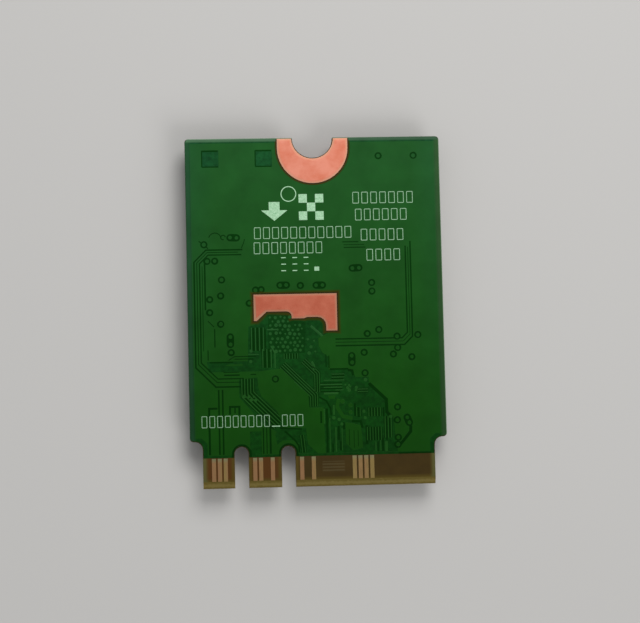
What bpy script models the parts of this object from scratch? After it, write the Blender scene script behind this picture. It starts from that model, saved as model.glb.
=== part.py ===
"""Laptop wireless card, 22 mm wide and 30 mm long, with a keyed edge connector.

The card lies with its component side down, on the lid of its shield can, as it
was photographed. +Z is the back of the board, +Y the screw notch, -Y the edge
connector. The origin is on the resting surface, under the middle of the card.
"""

import math

import bmesh
import bpy
from mathutils import Matrix, Vector

MM = 0.001

# Edge connector. Positions are numbered across both faces, so each face has
# every second one, and some positions carry no contact on this card.
PIN_PITCH = 0.5 * MM
PIN_POSITIONS = 75
BACK_PINS = (2, 4, 6, 16, 18, 22, 32, 36, 50, 52, 54, 56)
FRONT_PINS = (1, 3, 5, 7, 33, 35, 37, 39, 41, 43, 45, 47, 49, 51, 53, 55, 57, 63, 69, 75)
KEY_SLOT_PINS = (11.5, 27.5)
CONTACT_WIDTH = 0.35 * MM
CONTACT_LENGTH = 1.95 * MM
CONTACT_SETBACK = 0.02 * MM
CONTACT_PLATING = 0.03 * MM
TONGUE_LENGTH = 4.0 * MM
TONGUE_MARGIN = 0.675 * MM
KEY_SLOT_WIDTH = 1.2 * MM
KEY_SLOT_DEPTH = 3.5 * MM
CHAMFER_RUN = 0.58 * MM
CHAMFER_DEPTH = 0.22 * MM

# Board outline
CARD_LENGTH = 30.0 * MM
SHOULDER_WIDTH = 1.075 * MM
SHOULDER_FILLET = 0.65 * MM
CORNER_RADIUS = 0.3 * MM
NOTCH_RADIUS = 1.75 * MM
LAMINATE_THICKNESS = 0.74 * MM

# Solder mask and the bare copper in its windows
MASK_THICKNESS = 0.03 * MM
MASK_EDGE_INSET = 0.06 * MM
MASK_WINDOW_GAP = 0.1 * MM
MASK_TO_CONTACTS = 0.05 * MM
SCREW_LAND_WIDTH = 1.3 * MM
SCREW_LAND_DROP = 0.9 * MM
TRACK_PITCH = 0.23 * MM
TRACK_GAP = 0.11 * MM
TRACK_RELIEF = 0.014 * MM
BUS_CLEARANCE = 0.22 * MM
KEEP_OUT_SIZE = 1.5 * MM

# The bare patch behind the radio chip, from the chip's middle, and the two bites that the
# chip's vias take out of its foot
PATCH_LEFT = -3.34 * MM
PATCH_RIGHT = 3.8 * MM
PATCH_TOP = 3.78 * MM
PATCH_FOOT = 0.58 * MM
PATCH_HEEL = 0.94 * MM
PATCH_HEEL_LENGTH = 0.24 * MM
PATCH_SLOPE = 0.85 * MM
SMALL_BITE_X = -0.1 * MM
SMALL_BITE_TOP = 2.3 * MM
SMALL_BITE_RADIUS = 0.45 * MM
LARGE_BITE_X = 2.85 * MM
LARGE_BITE_TOP = 1.78 * MM
LARGE_BITE_RADIUS = 0.75 * MM
BITE_STEP = 0.1 * MM
BITE_STEP_LENGTH = 0.25 * MM
BITE_LEDGE = 1.05 * MM

# Clearances. Layers of the board are bonded, parts on it are soldered.
BOND_GAP = 0.005 * MM
SEAT_GAP = 0.02 * MM
SHEET_FIT = 0.03 * MM

# Shield can
FRAME_SHEET = 0.15 * MM
COVER_SHEET = 0.12 * MM
FOLD_RADIUS = 0.2 * MM
FRAME_SIDE_MARGIN = 0.9 * MM
FRAME_TO_SHOULDER = 1.2 * MM
FRAME_TO_LAND = 0.45 * MM
FRAME_CORNER = 0.5 * MM
FRAME_LIP = 0.7 * MM
BRIDGE_WIDTH = 1.6 * MM
PICK_UP_RADIUS = 2.0 * MM
FOOT_PITCH = 2.9 * MM
FOOT_ARCH_WIDTH = 1.2 * MM
FOOT_ARCH_HEIGHT = 0.3 * MM
HEADROOM = 0.1 * MM
SKIRT_CLEARANCE = 0.38 * MM
SKIRT_SLIT = 0.22 * MM
SKIRT_TAB_PITCH = 4.3 * MM
DIMPLE_RADIUS = 0.2 * MM
DIMPLE_DEPTH = 0.1 * MM

# Components inside the shield. The radio chip is set from the card's middle line, the rest from
# the walls and from each other.
WALL_CLEARANCE = 0.45 * MM
PART_SPACING = 0.4 * MM
CHIP_OFFSET = -2.0 * MM
CHIP_SIZE = 7.0 * MM
CHIP_HEIGHT = 0.85 * MM
CHIP_LAND_PITCH = 0.5 * MM
CHIP_LAND_WIDTH = 0.24 * MM
CHIP_LAND_LENGTH = 0.4 * MM
MODULE_SIZE = 2.5 * MM
MODULE_HEIGHT = 0.7 * MM
MEMORY_WIDTH = 3.0 * MM
MEMORY_LENGTH = 2.0 * MM
MEMORY_HEIGHT = 0.6 * MM
REGULATOR_SIZE = 1.6 * MM
REGULATOR_HEIGHT = 0.6 * MM
CRYSTAL_WIDTH = 2.5 * MM
CRYSTAL_LENGTH = 2.0 * MM
CRYSTAL_BASE_HEIGHT = 0.35 * MM
CRYSTAL_LID_HEIGHT = 0.2 * MM
CRYSTAL_LID_INSET = 0.2 * MM
INDUCTOR_LENGTH = 2.5 * MM
INDUCTOR_WIDTH = 2.0 * MM
INDUCTOR_HEIGHT = 1.0 * MM
BULK_LENGTH = 1.6 * MM
BULK_WIDTH = 0.8 * MM
BULK_HEIGHT = 0.8 * MM
DIPLEXER_LENGTH = 1.6 * MM
DIPLEXER_WIDTH = 0.8 * MM
DIPLEXER_HEIGHT = 0.6 * MM
FILTER_LENGTH = 1.4 * MM
FILTER_WIDTH = 1.1 * MM
FILTER_HEIGHT = 0.5 * MM
PASSIVE_LENGTH = 0.6 * MM
PASSIVE_WIDTH = 0.3 * MM
PASSIVE_HEIGHT = 0.3 * MM
PASSIVE_PITCH = 0.75 * MM
LARGE_PASSIVE_LENGTH = 1.0 * MM
LARGE_PASSIVE_WIDTH = 0.5 * MM
LARGE_PASSIVE_HEIGHT = 0.5 * MM
MATCHING_PITCH_X = 1.8 * MM
MATCHING_PITCH_Y = 1.4 * MM
SUPPLY_PITCH_X = 2.0 * MM
SUPPLY_PITCH_Y = 2.4 * MM
TERMINAL_STEP = 0.02 * MM
PACKAGE_EDGE = 0.05 * MM
MARK_RADIUS = 0.25 * MM
MARK_DEPTH = 0.06 * MM

# Antenna receptacles
RECEPTACLE_HEIGHT = 0.6 * MM
RECEPTACLE_SPACING = 4.6 * MM
RECEPTACLE_TO_LAND = 0.2 * MM
RECEPTACLE_FROM_TOP = 1.75 * MM
RECEPTACLE_REACH = 1.0 * MM
SHELL_RADIUS = 0.75 * MM
SHELL_WALL = 0.15 * MM
SHELL_LEG_WIDTH = 0.7 * MM
BASE_HALF_WIDTH = 0.6 * MM
BASE_HALF_LENGTH = 0.95 * MM
BASE_HEIGHT = 0.22 * MM
PIN_RADIUS = 0.14 * MM
PIN_FOOT = 0.05 * MM
RUNNING_GAP = 0.02 * MM

# Worked out from the sizes above
tongue_width = (PIN_POSITIONS - 1) / 2 * PIN_PITCH + 2 * TONGUE_MARGIN
card_half_width = tongue_width / 2 + SHOULDER_WIDTH
card_top = CARD_LENGTH / 2
tongue_end = -CARD_LENGTH / 2
shoulder_y = tongue_end + TONGUE_LENGTH
contact_low = tongue_end + CHAMFER_RUN + CONTACT_SETBACK
contact_high = contact_low + CONTACT_LENGTH
mask_end = contact_high + MASK_TO_CONTACTS
land_radius = NOTCH_RADIUS + SCREW_LAND_WIDTH
land_centre_y = card_top - SCREW_LAND_DROP

tallest_part = max(CHIP_HEIGHT, MODULE_HEIGHT, MEMORY_HEIGHT, REGULATOR_HEIGHT, INDUCTOR_HEIGHT,
                   BULK_HEIGHT, DIPLEXER_HEIGHT, FILTER_HEIGHT, LARGE_PASSIVE_HEIGHT,
                   CRYSTAL_BASE_HEIGHT + CRYSTAL_LID_HEIGHT)
lip_low = COVER_SHEET + SHEET_FIT
lip_high = lip_low + FRAME_SHEET
seat_z = lip_high + HEADROOM + tallest_part
laminate_front = seat_z + SEAT_GAP + MASK_THICKNESS
laminate_back = laminate_front + LAMINATE_THICKNESS

frame_half_width = card_half_width - FRAME_SIDE_MARGIN
frame_top = land_centre_y - land_radius - FRAME_TO_LAND
frame_bottom = shoulder_y + FRAME_TO_SHOULDER
room_half_width = frame_half_width - FRAME_SHEET
room_top = frame_top - FRAME_SHEET
room_bottom = frame_bottom + FRAME_SHEET

memory_y = room_bottom + WALL_CLEARANCE + MEMORY_LENGTH / 2
chip_bottom = memory_y + MEMORY_LENGTH / 2 + PART_SPACING + PASSIVE_LENGTH + PART_SPACING
chip_place = (CHIP_OFFSET, chip_bottom + CHIP_SIZE / 2)
chip_reach = CHIP_SIZE / 2 + PART_SPACING

SLOT_STEPS = 12
NOTCH_STEPS = 24
CORNER_STEPS = 4
ROUND_STEPS = 24
SMALL_ROUND_STEPS = 10
OVERSHOOT = 0.5 * MM

# Colours, linear, with roughness and metallic
FINISHES = {
    "laminate": ((0.065, 0.030, 0.012), 0.55, 0.0),
    "solder_mask": ((0.012, 0.085, 0.025), 0.35, 0.0),
    "gold_plating": ((0.50, 0.27, 0.09), 0.38, 1.0),
    "bare_copper": ((0.66, 0.16, 0.10), 0.42, 1.0),
    "tinned_land": ((0.82, 0.26, 0.16), 0.45, 1.0),
    "nickel_silver": ((0.55, 0.53, 0.48), 0.35, 1.0),
    "moulding_compound": ((0.012, 0.012, 0.013), 0.55, 0.0),
    "ceramic": ((0.30, 0.22, 0.15), 0.6, 0.0),
    "ferrite": ((0.045, 0.042, 0.040), 0.7, 0.0),
    "connector_plastic": ((0.62, 0.58, 0.48), 0.5, 0.0),
}


def clear_scene():
    for item in list(bpy.data.objects):
        bpy.data.objects.remove(item, do_unlink=True)


def make_collection(name):
    collection = bpy.data.collections.new(name)
    bpy.context.scene.collection.children.link(collection)
    return collection


def make_material(name):
    colour, roughness, metallic = FINISHES[name]
    material = bpy.data.materials.new(name)
    material.use_nodes = True
    shader = material.node_tree.nodes["Principled BSDF"]
    shader.inputs["Base Color"].default_value = (*colour, 1.0)
    shader.inputs["Roughness"].default_value = roughness
    shader.inputs["Metallic"].default_value = metallic
    return material


clear_scene()
parts = make_collection("laptop_wireless_card")
cutters = make_collection("cutters")
materials = {name: make_material(name) for name in FINISHES}


# Outlines: lists of (x, y) points, counter-clockwise

def arc(centre, radius, start, end, steps):
    """Points on an arc, both ends included, angles in degrees."""
    points = []
    for step in range(steps + 1):
        angle = math.radians(start + (end - start) * step / steps)
        points.append((centre[0] + radius * math.cos(angle), centre[1] + radius * math.sin(angle)))
    return points


def rectangle(left, bottom, right, top):
    return [(left, bottom), (right, bottom), (right, top), (left, top)]


def rounded_rectangle(left, bottom, right, top, radius):
    points = arc((right - radius, top - radius), radius, 0, 90, CORNER_STEPS)
    points += arc((left + radius, top - radius), radius, 90, 180, CORNER_STEPS)
    points += arc((left + radius, bottom + radius), radius, 180, 270, CORNER_STEPS)
    points += arc((right - radius, bottom + radius), radius, 270, 360, CORNER_STEPS)
    return points


def pin_x(position):
    """Distance of a contact position from the card's middle."""
    return (position - (PIN_POSITIONS + 1) / 2) * PIN_PITCH / 2


def card_outline(inset=0.0, end=tongue_end):
    """The board's outline, moved inwards by inset and with its tongue cut off at end."""
    fillet = min(SHOULDER_FILLET, SHOULDER_WIDTH - CORNER_RADIUS - MASK_EDGE_INSET)
    tongue = tongue_width / 2
    corner = CORNER_RADIUS - inset
    corner_x = card_half_width - CORNER_RADIUS
    points = [(-tongue + inset, end)]
    for position in KEY_SLOT_PINS:
        half = KEY_SLOT_WIDTH / 2 + inset
        middle = (pin_x(position), tongue_end + KEY_SLOT_DEPTH - KEY_SLOT_WIDTH / 2)
        points.append((middle[0] - half, end))
        points += arc(middle, half, 180, 0, SLOT_STEPS)
        points.append((middle[0] + half, end))
    points.append((tongue - inset, end))
    points += arc((tongue + fillet, shoulder_y - fillet), fillet + inset, 180, 90, CORNER_STEPS)
    points += arc((corner_x, shoulder_y + CORNER_RADIUS), corner, -90, 0, CORNER_STEPS)
    points += arc((corner_x, card_top - CORNER_RADIUS), corner, 0, 90, CORNER_STEPS)
    notch = NOTCH_RADIUS + inset
    dip = math.degrees(math.asin(inset / notch))
    points += arc((0, card_top), notch, -dip, -180 + dip, NOTCH_STEPS)
    points += arc((-corner_x, card_top - CORNER_RADIUS), corner, 90, 180, CORNER_STEPS)
    points += arc((-corner_x, shoulder_y + CORNER_RADIUS), corner, 180, 270, CORNER_STEPS)
    points += arc((-tongue - fillet, shoulder_y - fillet), fillet + inset, 90, 0, CORNER_STEPS)
    return points


def land_outline():
    """The bare land round the screw notch: straight sides, a round foot and the notch."""
    top = card_top - MASK_EDGE_INSET
    notch = NOTCH_RADIUS + MASK_EDGE_INSET
    dip = math.degrees(math.asin(MASK_EDGE_INSET / notch))
    points = arc((0, land_centre_y), land_radius, -180, 0, NOTCH_STEPS)
    points.append((land_radius, top))
    points += arc((0, card_top), notch, -dip, -180 + dip, NOTCH_STEPS)
    points.append((-land_radius, top))
    return points


def land_window():
    """The window that the solder mask leaves round that land."""
    radius = land_radius + MASK_WINDOW_GAP
    points = arc((0, land_centre_y), radius, -180, 0, NOTCH_STEPS)
    points += [(radius, card_top + OVERSHOOT), (-radius, card_top + OVERSHOOT)]
    return points


def heat_patch_outline():
    """The bare patch behind the radio chip, with the two bites that the chip's vias take."""
    heel_y = PATCH_FOOT + PATCH_HEEL
    slope_x = PATCH_LEFT + PATCH_HEEL_LENGTH
    ledge_y = LARGE_BITE_TOP - BITE_STEP
    ledge_x = SMALL_BITE_X + BITE_LEDGE
    small = (SMALL_BITE_X - SMALL_BITE_RADIUS, SMALL_BITE_TOP - SMALL_BITE_RADIUS)
    large = (LARGE_BITE_X - LARGE_BITE_RADIUS, LARGE_BITE_TOP - LARGE_BITE_RADIUS)
    points = [(PATCH_RIGHT, PATCH_FOOT), (PATCH_RIGHT, PATCH_TOP), (PATCH_LEFT, PATCH_TOP)]
    points += [(PATCH_LEFT, heel_y), (slope_x, heel_y), (slope_x + PATCH_SLOPE, SMALL_BITE_TOP)]
    points += arc(small, SMALL_BITE_RADIUS, 90, 0, CORNER_STEPS)
    points += [(SMALL_BITE_X, ledge_y), (ledge_x, ledge_y), (ledge_x + BITE_STEP_LENGTH, LARGE_BITE_TOP)]
    points += arc(large, LARGE_BITE_RADIUS, 90, 0, CORNER_STEPS)
    points.append((LARGE_BITE_X, PATCH_FOOT))
    return [(chip_place[0] + x, chip_place[1] + y) for x, y in points]


def offset_path(path, distance, closed=False):
    """A path moved sideways, to the left of its direction, with mitred corners."""
    count = len(path)
    sides = count if closed else count - 1
    normals = []
    for index in range(sides):
        along = (Vector(path[(index + 1) % count]) - Vector(path[index])).normalized()
        normals.append(Vector((-along.y, along.x)))
    points = []
    for index, point in enumerate(path):
        before = normals[index - 1] if closed else normals[max(index - 1, 0)]
        after = normals[index] if closed else normals[min(index, sides - 1)]
        mitre = (before + after).normalized()
        points.append(tuple(Vector(point) + mitre * (distance / mitre.dot(before))))
    return points


def ribbon_outline(path, width):
    return offset_path(path, -width / 2) + offset_path(path, width / 2)[::-1]


# Solids

def slab(name, outlines, low, high, material=None):
    """Flat solids between two heights, one for each outline.

    The curve makes the walls, and each open rim is closed with one face: a curve's
    own fill breaks where two edges lie on one line, as the card's shoulders do.
    """
    curve = bpy.data.curves.new(name, "CURVE")
    curve.dimensions = "2D"
    curve.fill_mode = "NONE"
    curve.extrude = (high - low) / 2
    for outline in outlines:
        spline = curve.splines.new("POLY")
        spline.points.add(len(outline) - 1)
        for point, (x, y) in zip(spline.points, outline):
            point.co = (x, y, 0.0, 1.0)
        spline.use_cyclic_u = True
    guide = bpy.data.objects.new(name + "_outline", curve)
    guide.location.z = (low + high) / 2
    cutters.objects.link(guide)
    bpy.context.view_layer.update()
    evaluated = guide.evaluated_get(bpy.context.evaluated_depsgraph_get())
    mesh = bpy.data.meshes.new_from_object(evaluated)
    mesh.name = name
    placed = guide.matrix_world.copy()
    bpy.data.objects.remove(guide)
    work = bmesh.new()
    work.from_mesh(mesh)
    bmesh.ops.remove_doubles(work, verts=work.verts, dist=0.0001 * MM)
    bmesh.ops.edgeloop_fill(work, edges=[edge for edge in work.edges if edge.is_boundary])
    bmesh.ops.recalc_face_normals(work, faces=work.faces)
    work.to_mesh(mesh)
    work.free()
    return add_object(name, mesh, material, placed)


def weld(mesh):
    """Join a mesh's loose caps, and turn its faces outwards."""
    work = bmesh.new()
    work.from_mesh(mesh)
    bmesh.ops.remove_doubles(work, verts=work.verts, dist=0.0001 * MM)
    bmesh.ops.recalc_face_normals(work, faces=work.faces)
    work.to_mesh(mesh)
    work.free()


def add_object(name, mesh, material=None, matrix=None):
    """A part with its material, or a cutter if it has none."""
    item = bpy.data.objects.new(name, mesh)
    item.matrix_world = matrix or Matrix()
    if material:
        mesh.materials.clear()
        mesh.materials.append(materials[material])
        parts.objects.link(item)
    else:
        item.hide_render = True
        item.display_type = "WIRE"
        cutters.objects.link(item)
    return item


def box(name, low, high, material=None):
    """A block between two opposite corners."""
    return boxes(name, [(low, high)], material)


def boxes(name, corners, material=None):
    """Blocks that don't touch, in one mesh."""
    work = bmesh.new()
    for low, high in corners:
        low, high = Vector(low), Vector(high)
        size = Matrix.Diagonal((*(high - low), 1.0))
        bmesh.ops.create_cube(work, size=1.0, matrix=Matrix.Translation((low + high) / 2) @ size)
    mesh = bpy.data.meshes.new(name)
    work.to_mesh(mesh)
    work.free()
    return add_object(name, mesh, material)


def rods(name, centres, radius, length, axis, material=None):
    """Round bars along X or Y, or pegs along Z, in one mesh."""
    turn = {"X": Matrix.Rotation(math.pi / 2, 4, "Y"), "Y": Matrix.Rotation(math.pi / 2, 4, "X"),
            "Z": Matrix()}[axis]
    work = bmesh.new()
    for centre in centres:
        bmesh.ops.create_cone(work, cap_ends=True, segments=SMALL_ROUND_STEPS, radius1=radius,
                              radius2=radius, depth=length, matrix=Matrix.Translation(centre) @ turn)
    mesh = bpy.data.meshes.new(name)
    work.to_mesh(mesh)
    work.free()
    return add_object(name, mesh, material)


def turned(name, profile, place, steps, material=None):
    """A body turned about an upright axis from (radius, z) points, closed if the profile is."""
    mesh = bpy.data.meshes.new(name + "_profile")
    edges = [(index, index + 1) for index in range(len(profile) - 1)]
    if profile[0][0] > 0:
        edges.append((len(profile) - 1, 0))
    mesh.from_pydata([(radius, 0.0, z) for radius, z in profile], edges, [])
    item = bpy.data.objects.new(name + "_profile", mesh)
    cutters.objects.link(item)
    screw = item.modifiers.new("turn", "SCREW")
    screw.steps = steps
    screw.render_steps = steps
    screw.use_merge_vertices = True
    screw.merge_threshold = 0.0001 * MM
    bpy.context.view_layer.update()
    evaluated = item.evaluated_get(bpy.context.evaluated_depsgraph_get())
    result = bpy.data.meshes.new_from_object(evaluated)
    result.name = name
    bpy.data.objects.remove(item)
    weld(result)
    result.transform(Matrix.Translation(place))
    return add_object(name, result, material)


def combine(item, other, operation):
    modifier = item.modifiers.new(operation.lower() + "_" + other.name, "BOOLEAN")
    modifier.operation = operation
    modifier.solver = "EXACT"
    modifier.object = other


def cut(item, *others):
    for other in others:
        combine(item, other, "DIFFERENCE")


def join(item, *others):
    for other in others:
        combine(item, other, "UNION")


def round_fold(item, edge_z):
    """Round the rim of a slab at one height, as the outer side of a fold is."""
    work = bmesh.new()
    work.from_mesh(item.data)
    local_z = edge_z - item.location.z
    rim = [edge for edge in work.edges if all(abs(vert.co.z - local_z) < 0.001 * MM for vert in edge.verts)]
    bmesh.ops.bevel(work, geom=rim, offset=FOLD_RADIUS, segments=3, profile=0.5, affect="EDGES")
    work.to_mesh(item.data)
    work.free()


def smooth(item, angle=40):
    item.data.shade_smooth()
    item.data.set_sharp_from_angle(angle=math.radians(angle))


def bevel(item, width, segments=2):
    modifier = item.modifiers.new("edges", "BEVEL")
    modifier.width = width
    modifier.segments = segments
    modifier.limit_method = "ANGLE"
    modifier.angle_limit = math.radians(40)


def spaced(low, high, pitch):
    """Evenly spaced places between two ends, a pitch or a little more apart, none if too few fit."""
    count = max(int((high - low) / pitch), 0)
    return [low + (high - low) * (index + 0.5) / count for index in range(count)]


# The board and its layers

def chamfer_cutter(name, face_z, side):
    """A block whose flank is the insertion chamfer of one face, side +1 for the back."""
    reach = 4 * CHAMFER_RUN
    slope = math.atan2(CHAMFER_DEPTH, CHAMFER_RUN)
    low = (-card_half_width - OVERSHOOT, -reach, 0.0)
    high = (card_half_width + OVERSHOOT, reach, reach)
    block = box(name, low, high)
    if side < 0:
        block.data.transform(Matrix.Rotation(math.pi, 4, "Y"))
    turn = Matrix.Rotation(side * slope, 4, "X")
    start = Matrix.Translation((0.0, tongue_end + CHAMFER_RUN, face_z))
    block.data.transform(start @ turn)
    return block


def against(wall, size):
    """The middle of a part of one size that lies at its clearance from a wall of the room."""
    inward = WALL_CLEARANCE + size / 2
    return {"left": inward - room_half_width, "right": room_half_width - inward,
            "bottom": room_bottom + inward, "top": room_top - inward}[wall]


def beside(middle, size, next_size, gaps=1):
    """The middle of a part that lies next to another one, with one or more spacings between them."""
    return middle + size / 2 + gaps * PART_SPACING + next_size / 2


def chain_places(order):
    """Module, filter and diplexer of one antenna's chain, along the top wall from the left."""
    narrow = max(FILTER_LENGTH, DIPLEXER_LENGTH)
    chain = MODULE_SIZE + PART_SPACING + narrow + PART_SPACING
    module_x = against("left", MODULE_SIZE) + order * chain
    narrow_x = beside(module_x, MODULE_SIZE, narrow)
    diplexer_y = against("top", DIPLEXER_WIDTH)
    filter_y = -beside(-diplexer_y, DIPLEXER_WIDTH, FILTER_WIDTH)
    return (module_x, against("top", MODULE_SIZE)), (narrow_x, filter_y), (narrow_x, diplexer_y)


def supply_places():
    """Two inductors up the right wall, a capacitor left of each, and the regulator above them."""
    inductor_x = against("right", INDUCTOR_LENGTH)
    capacitor_x = -beside(-inductor_x, INDUCTOR_LENGTH, BULK_WIDTH)
    low_y = against("bottom", INDUCTOR_WIDTH)
    high_y = beside(low_y, INDUCTOR_WIDTH, INDUCTOR_WIDTH, 2)
    regulator = (against("right", REGULATOR_SIZE), beside(high_y, INDUCTOR_WIDTH, REGULATOR_SIZE))
    inductors = [(inductor_x, y) for y in (low_y, high_y)]
    capacitors = [(capacitor_x, y) for y in (low_y, high_y)]
    return inductors, capacitors, regulator


def passive_blocks():
    """The small capacitors and resistors: x, y and their sizes along X, Y and down."""
    lying = (PASSIVE_LENGTH, PASSIVE_WIDTH, PASSIVE_HEIGHT)
    upright = (PASSIVE_WIDTH, PASSIVE_LENGTH, PASSIVE_HEIGHT)
    large = (LARGE_PASSIVE_WIDTH, LARGE_PASSIVE_LENGTH, LARGE_PASSIVE_HEIGHT)
    chip_x, chip_y = chip_place
    away = chip_reach + PASSIVE_LENGTH / 2
    half_side = CHIP_SIZE / 2 - PASSIVE_WIDTH
    blocks = []
    for along in spaced(-half_side, half_side, PASSIVE_PITCH):
        for side in (-away, away):
            blocks.append((chip_x + side, chip_y + along, lying))
            blocks.append((chip_x + along, chip_y + side, upright))

    ring = chip_reach + PASSIVE_LENGTH + PART_SPACING
    left, right = WALL_CLEARANCE - room_half_width, room_half_width - WALL_CLEARANCE
    module_bottom = room_top - WALL_CLEARANCE - MODULE_SIZE - PART_SPACING
    crystal_top = room_bottom + WALL_CLEARANCE + CRYSTAL_LENGTH + PART_SPACING
    regulator_top = supply_places()[2][1] + REGULATOR_SIZE / 2 + PART_SPACING
    matching, supply = (MATCHING_PITCH_X, MATCHING_PITCH_Y), (SUPPLY_PITCH_X, SUPPLY_PITCH_Y)
    for low_x, high_x, low_y, high_y, pitch, size in (
            (left, chip_x + chip_reach, chip_y + ring, module_bottom, matching, lying),
            (left, chip_x - ring, crystal_top, chip_y + chip_reach, matching, lying),
            (chip_x + ring, right, regulator_top, room_top - WALL_CLEARANCE, supply, large)):
        for x in spaced(low_x, high_x, pitch[0]):
            blocks += [(x, y, size) for y in spaced(low_y, high_y, pitch[1])]
    return blocks


def passive_bodies(name):
    """The small parts, reaching up into the board that carries them."""
    seat = laminate_front - MASK_THICKNESS
    corners = []
    for x, y, (size_x, size_y, height) in passive_blocks():
        corners.append(((x - size_x / 2, y - size_y / 2, seat - height),
                        (x + size_x / 2, y + size_y / 2, laminate_front + BOND_GAP)))
    return boxes(name, corners)


def passive_windows(name, low, high):
    """The openings that the mask leaves for the small parts."""
    corners = []
    for x, y, (size_x, size_y, _) in passive_blocks():
        half_x, half_y = size_x / 2 + MASK_WINDOW_GAP, size_y / 2 + MASK_WINDOW_GAP
        corners.append(((x - half_x, y - half_y, low), (x + half_x, y + half_y, high)))
    return boxes(name, corners)


def make_circuit_board():
    board = slab("circuit_board", [card_outline()], laminate_front, laminate_back, "laminate")
    cut(board, chamfer_cutter("chamfer_back", laminate_back, 1))
    cut(board, chamfer_cutter("chamfer_front", laminate_front, -1))
    join(board, passive_bodies("passives"))
    return board


def groove_runs():
    """The grooves that flank the tracks on the back: how many side by side, and their middle line.

    Most are laid out from the radio chip's middle, the last ones from the contacts that they serve.
    """
    chip_x, chip_y = chip_place
    outer, bend = 0.87 * MM - card_half_width, 0.78 * MM
    bus_top, turn_y, turn = chip_y + 7.41 * MM, chip_y - 2.0 * MM, 2.05 * MM
    bus = [(outer, turn_y), (outer + turn, turn_y - turn), (chip_x - 3.9 * MM, turn_y - turn)]
    bus_start = [(chip_x - 4.0 * MM, bus_top), (outer + bend, bus_top), (outer, bus_top - bend)]
    inner_bus = offset_path([(outer, chip_y + 6.0 * MM)] + bus, 2.5 * TRACK_PITCH)
    pair_x, pair_y, pair_bend = card_half_width - 2.95 * MM, chip_y - 0.48 * MM, 0.6 * MM
    escape_x, feed_y, side_y = chip_x - 2.7 * MM, chip_y + 7.9 * MM, chip_y - 1.7 * MM
    finger_end = mask_end + 0.25 * MM
    runs = [
        (3, bus_start + bus),
        (2, inner_bus),
        (3, [(pair_x, chip_y + 8.4 * MM), (pair_x, pair_y + pair_bend), (pair_x - pair_bend, pair_y),
             (chip_x + 3.6 * MM, pair_y)]),
        (3, [(chip_x + 6.6 * MM, feed_y), (chip_x + 4.5 * MM, feed_y)]),
        (5, [(escape_x, chip_y + 0.9 * MM), (escape_x, chip_y - 1.9 * MM)]),
        (2, [(escape_x - 2.2 * MM, side_y), (escape_x - 0.7 * MM, side_y)]),
    ]
    bus_foot = turn_y - turn - TRACK_PITCH - BUS_CLEARANCE
    for count, pin, aside, top in ((2, 4, 0.24 * MM, bus_foot), (3, 22, -0.35 * MM, finger_end + 2.2 * MM),
                                   (4, 50, -1.75 * MM, finger_end + 2.25 * MM),
                                   (4, 56, 1.1 * MM, finger_end + 2.75 * MM)):
        x = pin_x(pin) + aside
        runs.append((count, [(x, top), (x, finger_end)]))
    return runs


def groove_outlines():
    """Where the copper pour stops beside a track, and the mask sinks into the gap."""
    outlines = []
    for count, path in groove_runs():
        for index in range(count):
            line = offset_path(path, (index - (count - 1) / 2) * TRACK_PITCH)
            outlines.append(ribbon_outline(line, TRACK_GAP))
    return outlines


def keep_out_outlines():
    """Square clearings in the copper behind the two antenna receptacles."""
    half = KEEP_OUT_SIZE / 2
    return [rectangle(x - half, y - half, x + half, y + half) for x, y in receptacle_places()]


def make_solder_masks():
    back_low, back_high = laminate_back + BOND_GAP, laminate_back + MASK_THICKNESS
    back = slab("solder_mask_back", [card_outline(MASK_EDGE_INSET, mask_end)], back_low, back_high,
                "solder_mask")
    low, high = back_low - OVERSHOOT, back_high + OVERSHOOT
    cut(back, slab("land_window_back", [land_window()], low, high))
    patch_window = offset_path(heat_patch_outline(), -MASK_WINDOW_GAP, True)
    cut(back, slab("patch_window", [patch_window], low, high))
    grooves = groove_outlines() + keep_out_outlines()
    cut(back, slab("copper_gaps", grooves, back_high - TRACK_RELIEF, high))

    front_low, front_high = laminate_front - MASK_THICKNESS, laminate_front - BOND_GAP
    front = slab("solder_mask_front", [card_outline(MASK_EDGE_INSET, mask_end)], front_low, front_high,
                 "solder_mask")
    low, high = front_low - OVERSHOOT, front_high + OVERSHOOT
    cut(front, slab("land_window_front", [land_window()], low, high))
    cut(front, passive_windows("passive_windows", low, high))


def make_bare_copper():
    low, high = laminate_back + BOND_GAP, laminate_back + CONTACT_PLATING
    slab("screw_land_back", [land_outline()], low, high, "tinned_land")
    slab("heat_patch_back", [heat_patch_outline()], low, high, "bare_copper")
    low, high = laminate_front - CONTACT_PLATING, laminate_front - BOND_GAP
    slab("screw_land_front", [land_outline()], low, high, "tinned_land")


def make_contacts():
    """One plated contact for each position that this card uses."""
    thickness = CONTACT_PLATING - BOND_GAP
    half = CONTACT_WIDTH / 2
    model = box("contact", (-half, contact_low, 0.0), (half, contact_high, thickness))
    mesh = model.data
    bpy.data.objects.remove(model)
    for pins, low in ((BACK_PINS, laminate_back + BOND_GAP), (FRONT_PINS, laminate_front - CONTACT_PLATING)):
        for pin in pins:
            place = Matrix.Translation((pin_x(pin), 0.0, low))
            add_object(f"contact_{pin:02d}", mesh, "gold_plating", place)


# The shield can

def can_outline(inset, radius):
    return rounded_rectangle(-frame_half_width + inset, frame_bottom + inset, frame_half_width - inset,
                             frame_top - inset, radius)


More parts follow.
